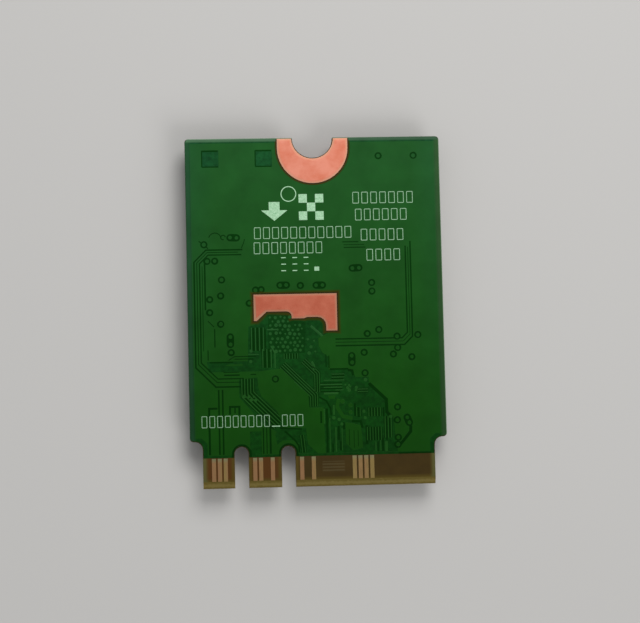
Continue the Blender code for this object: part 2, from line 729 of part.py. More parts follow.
def lip_window(side):
    """One half of the frame's opening, with a bite for the round pick-up pad. side +1 is right."""
    bridge = BRIDGE_WIDTH / 2
    far = room_half_width - FRAME_LIP
    low, high = room_bottom + FRAME_LIP, room_top - FRAME_LIP
    middle = (low + high) / 2
    spread = math.degrees(math.acos(bridge / PICK_UP_RADIUS))
    points = [(far, low), (far, high), (bridge, high)]
    points += arc((0.0, middle), PICK_UP_RADIUS, spread, -spread, CORNER_STEPS * 3)
    points.append((bridge, low))
    return [(side * x, y) for x, y in points]


def make_shield_frame():
    """Folded fence: a wall on arched feet, with a lip and a bridge on its lid side."""
    frame = slab("shield_frame", [can_outline(0.0, FRAME_CORNER)], lip_low, seat_z, "nickel_silver")
    round_fold(frame, lip_low)
    inner_radius = FRAME_CORNER - FRAME_SHEET
    cut(frame, slab("frame_room", [can_outline(FRAME_SHEET, inner_radius)], lip_high, seat_z + OVERSHOOT))
    cut(frame, slab("lip_windows", [lip_window(1), lip_window(-1)], 0.0, lip_high + HEADROOM / 2))
    low, high = seat_z - FOOT_ARCH_HEIGHT, seat_z + OVERSHOOT
    half = FOOT_ARCH_WIDTH / 2
    across = frame_half_width + OVERSHOOT
    rows = spaced(frame_bottom + FRAME_CORNER, frame_top - FRAME_CORNER, FOOT_PITCH)
    columns = spaced(-frame_half_width + FRAME_CORNER, frame_half_width - FRAME_CORNER, FOOT_PITCH)
    arches = [((-across, y - half, low), (across, y + half, high)) for y in rows]
    cut(frame, boxes("foot_arches_across", arches))
    bottom, top = frame_bottom - OVERSHOOT, frame_top + OVERSHOOT
    arches = [((x - half, bottom, low), (x + half, top, high)) for x in columns]
    cut(frame, boxes("foot_arches_along", arches))
    hole = DIMPLE_RADIUS + SHEET_FIT
    tab_rows, tab_columns, z = dimple_places()
    middle = (frame_bottom + frame_top) / 2
    cut(frame, rods("snap_holes_across", [(0.0, y, z) for y in tab_rows], hole, 2 * across, "X"))
    cut(frame, rods("snap_holes_along", [(x, middle, z) for x in tab_columns], hole, top - bottom, "Y"))
    return frame


def skirt_height():
    return seat_z - SKIRT_CLEARANCE


def dimple_places():
    """Middle of each skirt tab along the sides and the ends, and the height of its dimple."""
    rows = spaced(frame_bottom + FRAME_CORNER, frame_top - FRAME_CORNER, SKIRT_TAB_PITCH)
    columns = spaced(-frame_half_width + FRAME_CORNER, frame_half_width - FRAME_CORNER, SKIRT_TAB_PITCH)
    return rows, columns, (lip_high + skirt_height()) / 2


def make_shield_cover():
    """Snap-on lid: a plate with four skirts, open corners, slits and a dimple on each tab."""
    outer = -(SHEET_FIT + COVER_SHEET)
    cover = slab("shield_cover", [can_outline(outer, FRAME_CORNER - outer)], 0.0, skirt_height(),
                 "nickel_silver")
    round_fold(cover, 0.0)
    room = slab("cover_room", [can_outline(-SHEET_FIT, FRAME_CORNER + SHEET_FIT)], COVER_SHEET,
                skirt_height() + OVERSHOOT)
    cut(cover, room)
    relief = FRAME_CORNER
    wide, far = frame_half_width + OVERSHOOT, frame_half_width - relief
    low, high = COVER_SHEET + SHEET_FIT, skirt_height() + OVERSHOOT
    corners = []
    for left, right in ((-wide, -far), (far, wide)):
        corners.append(((left, frame_bottom - OVERSHOOT, low), (right, frame_bottom + relief, high)))
        corners.append(((left, frame_top - relief, low), (right, frame_top + OVERSHOOT, high)))
    cut(cover, boxes("corner_reliefs", corners))
    rows, columns, z = dimple_places()
    half = SKIRT_SLIT / 2
    low = lip_low + COVER_SHEET
    slits = [((-wide, (a + b) / 2 - half, low), (wide, (a + b) / 2 + half, high))
             for a, b in zip(rows, rows[1:])]
    cut(cover, boxes("slits_across", slits))
    bottom, top = frame_bottom - OVERSHOOT, frame_top + OVERSHOOT
    slits = [(((a + b) / 2 - half, bottom, low), ((a + b) / 2 + half, top, high))
             for a, b in zip(columns, columns[1:])]
    cut(cover, boxes("slits_along", slits))
    depth = DIMPLE_DEPTH + SHEET_FIT
    side, end_low, end_high = frame_half_width + SHEET_FIT, frame_bottom - SHEET_FIT, frame_top + SHEET_FIT
    inward = depth / 2 - COVER_SHEET / 2
    rods_x = [(sign * (side - inward), y, z) for sign in (-1, 1) for y in rows]
    join(cover, rods("dimples_side", rods_x, DIMPLE_RADIUS, depth + COVER_SHEET, "X"))
    rods_y = [(x, y, z) for y in (end_low + inward, end_high - inward) for x in columns]
    join(cover, rods("dimples_end", rods_y, DIMPLE_RADIUS, depth + COVER_SHEET, "Y"))
    return cover


# Components on the front of the board, hanging down from their seat

def package(name, place, size_x, size_y, height, material, marked=True):
    """A moulded package with broken edges and, in one corner, its position mark."""
    x, y = place
    low = (x - size_x / 2, y - size_y / 2, seat_z - height)
    item = box(name, low, (x + size_x / 2, y + size_y / 2, seat_z), material)
    bevel(item, PACKAGE_EDGE, 1)
    if marked:
        inward = 2.2 * MARK_RADIUS
        spot = (low[0] + inward, y + size_y / 2 - inward, low[2])
        cut(item, rods(name + "_mark", [spot], MARK_RADIUS, 2 * MARK_DEPTH, "Z"))
    return item


def terminal_part(name, place, length, width, height, material, along_x=True):
    """A chip part whose two end caps stand a little proud of its body."""
    x, y = place
    cap = length / 4
    step = TERMINAL_STEP
    half_length, half_width = length / 2, width / 2
    outline = [(half_length, half_width), (half_length - cap, half_width),
               (half_length - cap, half_width - step), (-half_length + cap, half_width - step),
               (-half_length + cap, half_width), (-half_length, half_width)]
    outline += [(-u, -v) for u, v in outline]
    if not along_x:
        outline = [(-v, u) for u, v in outline]
    outline = [(x + u, y + v) for u, v in outline]
    item = slab(name, [outline], seat_z - height, seat_z, material)
    return item


def make_radio_chip():
    """Flat leadless package with a row of lands along each side of its seat."""
    x, y = chip_place
    chip = package("radio_chip", chip_place, CHIP_SIZE, CHIP_SIZE, CHIP_HEIGHT, "moulding_compound")
    count = int((CHIP_SIZE - 2 * CHIP_LAND_LENGTH) / CHIP_LAND_PITCH)
    reach = CHIP_SIZE / 2 - PACKAGE_EDGE
    along = [(index - (count - 1) / 2) * CHIP_LAND_PITCH for index in range(count)]
    half = CHIP_LAND_WIDTH / 2
    low, high = seat_z - PACKAGE_EDGE, seat_z + SEAT_GAP / 2
    lands = []
    for sign in (-1, 1):
        edges = sorted((sign * reach, sign * (reach - CHIP_LAND_LENGTH)))
        for place in along:
            lands.append(((x + edges[0], y + place - half, low), (x + edges[1], y + place + half, high)))
            lands.append(((x + place - half, y + edges[0], low), (x + place + half, y + edges[1], high)))
    join(chip, boxes("chip_lands", lands))
    return chip


def make_crystal():
    """Ceramic base with a seam-welded metal lid."""
    x, y = against("left", CRYSTAL_WIDTH), against("bottom", CRYSTAL_LENGTH)
    half_x, half_y = CRYSTAL_WIDTH / 2, CRYSTAL_LENGTH / 2
    radius = CRYSTAL_LID_INSET / 2
    base_low = seat_z - CRYSTAL_BASE_HEIGHT
    outline = rounded_rectangle(x - half_x, y - half_y, x + half_x, y + half_y, radius)
    base = slab("reference_crystal", [outline], base_low, seat_z, "nickel_silver")
    half_x -= CRYSTAL_LID_INSET
    half_y -= CRYSTAL_LID_INSET
    outline = rounded_rectangle(x - half_x, y - half_y, x + half_x, y + half_y, radius)
    lid = slab("crystal_lid", [outline], base_low - CRYSTAL_LID_HEIGHT, base_low + BOND_GAP)
    join(base, lid)
    return base


def make_components():
    make_radio_chip()
    make_crystal()
    package("memory_chip", (CHIP_OFFSET, memory_y), MEMORY_WIDTH, MEMORY_LENGTH, MEMORY_HEIGHT,
            "moulding_compound")
    inductors, capacitors, regulator = supply_places()
    package("voltage_regulator", regulator, REGULATOR_SIZE, REGULATOR_SIZE, REGULATOR_HEIGHT,
            "moulding_compound")
    for order, letter in enumerate("ab"):
        module, band_filter, diplexer = chain_places(order)
        package("front_end_module_" + letter, module, MODULE_SIZE, MODULE_SIZE, MODULE_HEIGHT,
                "moulding_compound")
        terminal_part("band_filter_" + letter, band_filter, FILTER_LENGTH, FILTER_WIDTH, FILTER_HEIGHT,
                      "ceramic")
        terminal_part("diplexer_" + letter, diplexer, DIPLEXER_LENGTH, DIPLEXER_WIDTH, DIPLEXER_HEIGHT,
                      "ceramic")
        terminal_part("power_inductor_" + letter, inductors[order], INDUCTOR_LENGTH, INDUCTOR_WIDTH,
                      INDUCTOR_HEIGHT, "ferrite")
        terminal_part("bulk_capacitor_" + letter, capacitors[order], BULK_LENGTH, BULK_WIDTH, BULK_HEIGHT,
                      "ceramic", along_x=False)


# Antenna receptacles

def receptacle_places():
    """Two receptacles left of the screw land, in one row."""
    near = -(land_radius + RECEPTACLE_TO_LAND + RECEPTACLE_REACH)
    y = card_top - RECEPTACLE_FROM_TOP
    return [(near - RECEPTACLE_SPACING, y), (near, y)]


def make_receptacle(letter, x, y):
    """Moulded base, snap ring with its two legs, and centre pin with its foot."""
    base_top = seat_z - PIN_FOOT - RUNNING_GAP
    base_low = seat_z - BASE_HEIGHT
    base = box("receptacle_base_" + letter, (x - BASE_HALF_WIDTH, y - BASE_HALF_LENGTH, base_low),
               (x + BASE_HALF_WIDTH, y + BASE_HALF_LENGTH, base_top), "connector_plastic")
    bore = PIN_RADIUS + RUNNING_GAP
    cut(base, rods("pin_bore_" + letter, [(x, y, base_low)], bore, 4 * BASE_HEIGHT, "Z"))

    low = seat_z - RECEPTACLE_HEIGHT
    high = base_low - RUNNING_GAP
    tall = high - low
    inner = SHELL_RADIUS - SHELL_WALL
    waist = SHELL_RADIUS - SHELL_WALL / 3
    profile = [(inner, high), (inner, low + 0.1 * tall), (inner + SHELL_WALL / 4, low),
               (SHELL_RADIUS - SHELL_WALL / 4, low), (SHELL_RADIUS, low + 0.12 * tall),
               (SHELL_RADIUS, low + 0.45 * tall), (waist, low + 0.6 * tall), (waist, high)]
    shell = turned("receptacle_shell_" + letter, profile, (x, y, 0.0), ROUND_STEPS, "gold_plating")
    half = SHELL_LEG_WIDTH / 2
    foot_in = BASE_HALF_WIDTH + RUNNING_GAP
    sheet = SHELL_WALL / 2
    arms = []
    legs = []
    for sign in (-1, 1):
        arm = sorted((x + sign * (inner + sheet), x + sign * RECEPTACLE_REACH))
        leg = sorted((x + sign * (foot_in + sheet), x + sign * RECEPTACLE_REACH))
        arms.append(((arm[0], y - half, high - sheet), (arm[1], y + half, high)))
        legs.append(((leg[0], y - half, high - sheet / 2), (leg[1], y + half, seat_z)))
    join(shell, boxes("shell_arms_" + letter, arms), boxes("shell_legs_" + letter, legs))

    tip = seat_z - 0.85 * RECEPTACLE_HEIGHT
    profile = [(0.0, seat_z), (PIN_RADIUS, seat_z), (PIN_RADIUS, tip + PIN_RADIUS / 2),
               (PIN_RADIUS * 0.7, tip + PIN_RADIUS / 8), (0.0, tip)]
    pin = turned("receptacle_pin_" + letter, profile, (x, y, 0.0), ROUND_STEPS // 2, "gold_plating")
    foot_end = y + RECEPTACLE_REACH
    foot = box("pin_foot_" + letter, (x - PIN_RADIUS, y, seat_z - PIN_FOOT),
               (x + PIN_RADIUS, foot_end, seat_z))
    join(pin, foot)
    smooth(shell)
    smooth(pin)


make_circuit_board()
make_solder_masks()
make_bare_copper()
make_contacts()
make_shield_frame()
make_shield_cover()
make_components()
for receptacle, (x_place, y_place) in zip("ab", receptacle_places()):
    make_receptacle(receptacle, x_place, y_place)
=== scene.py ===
"""Looks of a laptop wireless card, 22 mm by 30 mm, lying on the lid of its shield can.

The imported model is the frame. The pieces made here are the relief of the solder mask over
the copper, the tracks and vias that stand in its bare areas, the bare copper plates, the
white legend and the solder. Every surface gets the finish of its real material.
"""

import math

import bmesh
import bpy
from bpy.props import FloatProperty, FloatVectorProperty, PointerProperty
from mathutils import Matrix, Vector
from mathutils.geometry import delaunay_2d_cdt


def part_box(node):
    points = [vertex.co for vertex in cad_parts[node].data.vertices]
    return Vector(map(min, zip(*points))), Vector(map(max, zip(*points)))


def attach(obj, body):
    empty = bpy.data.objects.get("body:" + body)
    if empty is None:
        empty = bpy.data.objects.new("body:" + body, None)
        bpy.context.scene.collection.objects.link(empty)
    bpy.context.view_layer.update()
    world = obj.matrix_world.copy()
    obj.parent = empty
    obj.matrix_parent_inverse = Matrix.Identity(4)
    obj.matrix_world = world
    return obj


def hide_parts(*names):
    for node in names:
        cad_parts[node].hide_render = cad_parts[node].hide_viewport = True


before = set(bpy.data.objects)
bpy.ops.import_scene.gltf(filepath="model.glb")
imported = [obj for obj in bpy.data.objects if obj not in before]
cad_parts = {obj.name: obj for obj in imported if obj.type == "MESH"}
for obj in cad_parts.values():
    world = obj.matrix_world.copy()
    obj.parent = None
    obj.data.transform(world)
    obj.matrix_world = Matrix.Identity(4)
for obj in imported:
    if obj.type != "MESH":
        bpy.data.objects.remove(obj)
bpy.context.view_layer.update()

bl_info = {
    "name": "Laptop wireless card",
    "version": (1, 0, 0),
    "blender": (4, 5, 0),
    "location": "3D View > Sidebar > Wireless card",
    "description": "Relief, legend, solder and finishes for the packed model of a laptop wireless card",
    "category": "Object",
}

MM = 0.001

# The card in its frame. Layouts below are in millimetres from its middle, +Y towards the screw notch.
back_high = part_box("solder_mask_back")[1].z
front_low, front_high = (corner.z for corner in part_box("solder_mask_front"))
front_contacts = [name for name in sorted(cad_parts)
                  if name.startswith("contact_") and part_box(name)[0].z <= front_high]

CARD_HALF_WIDTH = 11.0
CARD_TOP = 15.0
TONGUE_HALF_WIDTH = 9.925
SHOULDER_Y = -11.0
KEY_SLOTS = (-6.625, -2.625)
KEY_SLOT_Y = -12.1
KEY_SLOT_RADIUS = 0.6
MASK_END = -12.4
LAND_RADIUS = 3.05
LAND_CENTRE_Y = 14.1
CHAMFER_Y = -14.42
RECEPTACLES = ((-8.85, 13.25), (-4.25, 13.25))
KEEP_OUT = 1.5
# How far the copper pour stays back from the card's edges, the mask's end, the key slots and the land
POUR_MARGIN = 0.42
POUR_END_MARGIN = 0.2
POUR_SLOT_MARGIN = 0.24
POUR_LAND_MARGIN = 0.22
# The sloping corner of the pour at each shoulder of the card: how long it is, how far above and below
POUR_CORNER_RUN = 0.5
POUR_CORNER_ABOVE = 0.3
POUR_CORNER_BELOW = 0.15
# How far from a key slot's edge painted shadow darkens the mask
SLOT_RIM = 0.26
# How far from bare copper painted shade darkens the mask, and where that shade has faded
RIM_WIDTH = 0.15
RIM_FADE = 0.35
# The edge that the etch rounds on a bare copper plate: how far in it starts, and how far it drops
PLATE_RIM = 0.22
PLATE_RIM_DROP = 0.008
# How much painted shade darkens the mask in each kind of loop, as a share of the most
GAP_SHADE_SHARES = {"narrow": 1.0, "band": 1.0, "field": 0.5}

# The glass cloth of the laminate: distance between yarns, warp and weft
WEAVE_PITCH_X = 0.42 * MM
WEAVE_PITCH_Y = 0.54 * MM


# Outlines, in millimetres

# How far a mitred corner may reach, as the least cosine that it is divided by
MITRE_LIMIT = 0.4


def arc(centre, radius, start, end, steps):
    """Points on an arc, both ends included, angles in degrees."""
    points = []
    for step in range(steps + 1):
        angle = math.radians(start + (end - start) * step / steps)
        points.append((centre[0] + radius * math.cos(angle), centre[1] + radius * math.sin(angle)))
    return points


def rectangle(left, bottom, right, top):
    return [(left, bottom), (right, bottom), (right, top), (left, top)]


def signed_area(loop):
    pairs = zip(loop, loop[1:] + loop[:1])
    return sum(a[0] * b[1] - b[0] * a[1] for a, b in pairs) / 2


def counter_clockwise(loop):
    return loop if signed_area(loop) > 0 else loop[::-1]


def moved_sides(points, distance, closed):
    """A path or loop with each side moved to its left by distance, with mitred corners."""
    count = len(points)
    sides = count if closed else count - 1
    normals = []
    for index in range(sides):
        along = (Vector(points[(index + 1) % count]) - Vector(points[index])).normalized()
        normals.append(Vector((-along.y, along.x)))
    moved = []
    for index, point in enumerate(points):
        before = normals[index - 1] if closed else normals[max(index - 1, 0)]
        after = normals[index] if closed else normals[min(index, sides - 1)]
        mitre = (before + after).normalized()
        reach = distance / max(mitre.dot(before), MITRE_LIMIT)
        moved.append(tuple(Vector(point) + mitre * reach))
    return moved


def spread(loop, distance):
    """A counter-clockwise loop grown by distance, or shrunk by a negative one."""
    return moved_sides(loop, -distance, True)


def parallel(count, pitch, path):
    """Side by side copies of a path, evenly spaced about it."""
    return [moved_sides(path, (index - (count - 1) / 2) * pitch, False) for index in range(count)]


def ribbon(path, width):
    """The loop round a path of one width."""
    right = moved_sides(path, -width / 2, False)
    left = moved_sides(path, width / 2, False)
    return counter_clockwise(right + left[::-1])


def stadium(places, radius, steps=6):
    """The loop at one distance round a place, or round the line between two."""
    first, last = Vector(places[0]), Vector(places[-1])
    along = last - first
    turn = math.degrees(math.atan2(along.y, along.x)) if along.length else 0.0
    loop = arc(last, radius, turn - 90, turn + 90, steps)
    loop += arc(first, radius, turn + 90, turn + 270, steps)
    return [point for index, point in enumerate(loop)
            if (Vector(point) - Vector(loop[index - 1])).length > radius / 100]


# The copper of the back, as the photograph shows it through the mask

def pour_outline():
    """The copper pour: the card's outline, set back from its edges, slots, land and mask end."""
    foot = MASK_END + POUR_END_MARGIN
    slot = KEY_SLOT_RADIUS + POUR_SLOT_MARGIN
    tongue = TONGUE_HALF_WIDTH - POUR_MARGIN
    side = CARD_HALF_WIDTH - POUR_MARGIN
    top = CARD_TOP - POUR_MARGIN
    land = LAND_RADIUS + POUR_LAND_MARGIN
    corner = tongue + POUR_CORNER_RUN
    above, below = SHOULDER_Y + POUR_CORNER_ABOVE, SHOULDER_Y - POUR_CORNER_BELOW
    loop = [(-tongue, foot)]
    for x in KEY_SLOTS:
        dip = math.degrees(math.asin((KEY_SLOT_Y - foot) / slot))
        loop += arc((x, KEY_SLOT_Y), slot, 180 + dip, -dip, 12)
    loop += [(tongue, foot), (tongue, below), (corner, above), (side, above), (side, top), (land, top)]
    loop += arc((0.0, LAND_CENTRE_Y), land, 0, -180, 24)
    loop += [(-land, top), (-side, top), (-side, above), (-corner, above), (-tongue, below)]
    return loop


# Areas of the back without copper
CHIP_ESCAPE = [(-5.85, -1.25), (-5.3, -1.1), (-4.4, 0.2), (-2.2, 0.2), (-1.9, -0.3), (0.3, -0.3),
               (1.2, -1.1), (0.95, -1.95), (0.15, -2.35), (0.15, -3.0), (0.45, -3.6), (0.95, -3.95),
               (0.95, -5.05), (2.9, -5.05), (3.25, -5.75), (4.4, -5.75), (4.4, -6.35), (5.95, -7.8),
               (6.0, -8.8), (6.45, -9.4), (6.6, -11.2), (6.75, -12.2), (0.55, -12.2), (0.42, -8.3),
               (-0.78, -8.3), (-0.85, -7.15), (-3.1, -4.9), (-4.0, -5.0), (-4.95, -5.1), (-9.3, -5.1),
               (-9.45, -4.2), (-5.95, -4.2)]
SIDE_BUNDLE = [(-6.75, -5.75), (-5.15, -5.6), (-5.1, -6.5), (-4.85, -7.2), (-3.5, -8.55), (-3.0, -9.8),
               (-3.6, -10.3), (-4.9, -9.5), (-5.95, -8.2), (-6.75, -7.3)]
LEFT_OF_ISLAND = [(-3.4, -9.9), (-1.1, -10.0), (-0.95, -11.4), (-0.1, -12.2), (-1.65, -12.2),
                  (-1.72, -11.3), (-2.2, -11.05), (-3.1, -11.05), (-3.6, -11.4), (-3.75, -10.5)]
BARE_AREAS = [
    CHIP_ESCAPE,
    SIDE_BUNDLE,
    LEFT_OF_ISLAND,
    rectangle(-5.9, -12.2, -4.9, -10.2),
]
COPPER_ISLANDS = [
    [(2.3, -9.62), (2.9, -9.7), (3.6, -9.9), (3.75, -11.8), (2.9, -12.0), (2.3, -11.4)],
    ribbon([(1.75, -7.6), (1.6, -8.3), (2.1, -9.1), (2.9, -9.3)], 0.3),
    [(-7.9, -4.58), (-6.4, -4.58), (-6.4, -4.46), (-7.6, -4.46)],
    [(0.85, -7.3), (1.5, -7.3), (1.4, -7.58), (0.95, -7.55)],
]

# Gaps in the pour and dark edges beside tracks: their width and their middle line
GAPS = [
    (0.15, [(-6.2, 5.38), (-9.35, 5.38), (-10.38, 4.35), (-10.38, -4.69), (-8.7, -6.37), (-6.1, -6.37)]),
    (0.09, [(-6.6, 5.17), (-9.26, 5.17), (-10.14, 4.29), (-10.14, -4.43), (-8.59, -5.98), (-6.4, -5.98)]),
    (0.13, [(-6.3, 4.95), (-9.17, 4.95), (-9.91, 4.21), (-9.91, -4.29), (-8.52, -5.68), (-6.3, -5.68)]),
    (0.08, [(-9.69, 4.0), (-9.69, -3.3)]),
    (0.16, [(-9.47, 4.2), (-9.47, 0.2)]),
    (0.11, [(-9.32, -3.2), (-9.32, -4.1)]),
    (0.1, [(-9.3, -0.7), (-8.75, -1.25)]),
    (0.12, [(-8.72, -1.4), (-8.72, -3.0)]),
    (0.11, [(-9.15, 5.5), (-9.7, 6.0), (-9.95, 6.15)]),
    (0.09, [(-6.3, 5.5), (-6.1, 5.95), (-6.0, 6.3)]),
    (0.1, arc((-8.55, 6.3), 0.55, 165, 20, 6)),
    (0.11, arc((-7.85, 6.45), 0.2, 0, 290, 8)),
    (0.09, [(-8.05, -5.13), (-6.7, -5.13)]),
    (0.15, [(-8.0, -5.38), (-6.65, -5.38)]),
    (0.12, [(-9.2, -4.28), (-7.2, -4.28)]),
    (0.1, [(-7.6, -4.12), (-7.1, -3.8), (-5.25, -3.8)]),
    (0.1, [(-7.1, -4.02), (-5.45, -4.02)]),
    (0.09, [(-5.45, -1.4), (-5.45, -3.3)]),
    (0.08, [(-5.05, -1.4), (-5.05, -3.3)]),
    (0.08, [(-4.75, -1.4), (-4.75, -3.3)]),
    (0.09, [(-4.4, -1.5), (-4.4, -3.1)]),
    (0.12, [(-5.75, -5.35), (-5.25, -5.35)]),
    (0.2, [(-8.6, -8.2), (-9.32, -8.2), (-9.32, -12.15)]),
    (0.16, [(-8.48, -6.6), (-8.48, -12.15)]),
    (0.16, [(-8.15, -6.6), (-8.15, -12.15)]),
    (0.2, [(-7.55, -8.75), (-7.55, -8.08), (-6.75, -8.08), (-6.75, -8.8)]),
    (0.14, [(-7.12, -8.15), (-7.12, -8.65)]),
    (0.13, [(-4.75, -9.9), (-4.75, -12.15)]),
    (0.1, [(-4.46, -9.9), (-4.46, -12.15)]),
    (0.18, [(-4.15, -9.8), (-4.15, -12.15)]),
    (0.14, [(7.83, 5.5), (7.83, -2.0), (7.36, -2.47), (1.6, -2.47)]),
    (0.08, [(8.05, 5.4), (8.05, -2.15), (7.45, -2.75), (1.6, -2.75)]),
    (0.15, [(8.26, 5.9), (8.26, -2.35), (7.56, -3.05), (1.6, -3.05)]),
    (0.11, [(2.4, 5.9), (3.8, 5.9)]),
    (0.08, [(2.5, 5.65), (4.3, 5.65)]),
    (0.11, [(2.5, 5.42), (4.4, 5.42)]),
    (0.15, [(1.05, -5.03), (2.65, -5.03)]),
    (0.22, [(2.6, -5.12), (2.98, -5.2), (3.05, -5.6)]),
    (0.28, [(4.38, -6.3), (5.85, -7.72), (5.88, -8.8), (6.35, -9.35)]),
    (0.1, [(1.15, -5.86), (2.2, -5.86)]),
    (0.1, [(0.2, -6.22), (2.1, -6.22)]),
    (0.1, [(0.2, -6.48), (2.1, -6.48)]),
    (0.12, [(0.2, -6.7), (2.1, -6.72)]),
    (0.12, [(0.2, -6.95), (1.9, -6.95)]),
    (0.16, [(-1.95, -6.05), (-1.3, -6.65)]),
    (0.14, [(0.1, -7.4), (0.7, -7.75), (1.05, -8.4), (1.1, -9.0)]),
    (0.18, [(0.22, -8.6), (0.22, -9.65)]),
    (0.18, [(0.72, -8.4), (0.72, -12.15)]),
    (0.14, [(1.18, -11.4), (1.18, -12.15)]),
    (0.2, [(1.7, -9.9), (1.7, -11.1)]),
    (0.14, [(1.85, -11.2), (1.85, -12.0)]),
    (0.16, [(2.15, -9.6), (2.15, -10.2)]),
    (0.2, [(2.85, -9.52), (3.6, -9.55), (3.75, -10.1)]),
    (0.16, [(3.13, -8.0), (3.13, -9.1)]),
    (0.2, [(3.42, -8.4), (3.45, -9.2)]),
    (0.16, [(4.9, -8.4), (4.9, -9.1)]),
    (0.14, [(5.6, -8.4), (5.6, -9.15)]),
    (0.14, [(5.82, -9.15), (5.82, -11.2)]),
    (0.14, [(6.09, -9.5), (6.09, -10.9)]),
    (0.2, [(4.1, -9.9), (4.1, -11.5)]),
    (0.16, [(5.47, -11.0), (5.47, -12.15)]),
    (0.12, [(5.05, -11.3), (5.05, -12.15)]),
    (0.28, [(7.9, -10.0), (7.88, -10.5), (7.35, -11.15), (6.9, -11.65)]),
    (0.12, [(6.8, -12.34), (9.6, -12.34)]),
    (0.12, [(-3.3, -9.97), (-1.45, -10.1)]),
    (0.16, [(-2.9, -10.25), (-2.1, -11.0), (-1.75, -11.5), (-1.7, -12.1)]),
    (0.09, [(0.75, -3.75), (0.75, -4.85)]),
    (0.1, [(1.0, -3.85), (1.0, -4.95)]),
    (0.07, [(2.6, -10.2), (2.6, -11.6)]),
    (0.07, [(3.0, -10.3), (3.0, -11.8)]),
    (0.07, [(3.35, -10.3), (3.35, -11.7)]),
]

# Places of vias: one, or two that share a clearing in the pour
CLEARED_VIAS = [
    [(-8.05, 2.8)], [(-8.15, 1.42)], [(-9.1, 1.12)], [(-9.12, 0.0)], [(-8.2, -1.0)], [(-5.72, 0.75)],
    [(-7.4, -2.1), (-7.4, -2.75)], [(-7.35, -3.45)], [(-3.62, -5.78)], [(-1.3, 2.2)],
    [(4.85, 2.35)], [(4.85, 1.6)], [(4.35, -2.05)], [(5.36, -1.72)], [(6.92, -2.32)],
    [(6.95, -3.3)], [(6.57, -3.85)], [(8.72, -2.22)], [(8.15, -4.12)], [(4.05, -3.65)],
    [(4.08, -5.42)], [(6.8, -8.4)], [(6.75, -9.5)], [(7.78, -9.75), (7.6, -9.3)], [(6.8, -11.0)],
    [(6.75, -11.6)], [(5.7, 13.35)], [(8.75, 13.35)], [(-5.15, 1.88)], [(-4.68, 1.9)],
    [(-3.05, 2.25), (-2.5, 2.25)], [(0.05, 2.2), (0.6, 2.2)], [(3.2, 3.62), (3.78, 3.65)],
    [(-9.27, 4.42)], [(-8.6, 4.42)], [(2.97, -3.92), (2.97, -4.52)], [(-7.25, 6.42), (-6.7, 6.4)],
    [(-9.5, 5.85)],
]
BARE_VIAS = [
    (1.3, -9.2), (1.75, -9.35), (1.98, -9.75), (4.0, -9.25), (4.1, -6.0), (-5.65, -3.35),
    (-5.7, -4.25), (6.2, -9.2), (3.9, -8.7),
]
LARGE_VIAS = [(2.08, -7.82), (2.75, -8.15), (2.75, -8.75)]
# Single small vias in the fan-out behind the radio chip
SMALL_VIAS = [
    (-0.5, -3.1), (-0.75, -2.5), (-0.3, -2.6), (-0.2, -3.5), (-0.75, -3.65), (2.35, -6.45),
    (2.65, -6.4), (2.5, -6.65), (2.8, -6.6), (2.7, -6.85), (3.3, -6.85), (3.3, -6.6),
    (-5.95, -7.3), (-5.55, -7.25), (-5.75, -7.5), (-5.35, -7.5), (-6.3, -7.2),
]
# Right behind the chip: the field where painted shade darkens the mask half as much, and the staggered rows
# of small vias, by their upper left end, pitches and counts, with the corner of the field that they leave
# free
CHIP_FIELD = [(-4.15, -0.3), (-2.25, -0.3), (-1.95, -0.8), (-0.9, -0.9), (-1.05, -3.6), (-4.15, -3.6)]
CHIP_CORNER = (-3.95, -0.48)
CHIP_PITCH = (0.42, 0.36)
CHIP_ROWS, CHIP_COLUMNS = 9, 7
CHIP_FREE_CORNER = (-2.1, -0.9)

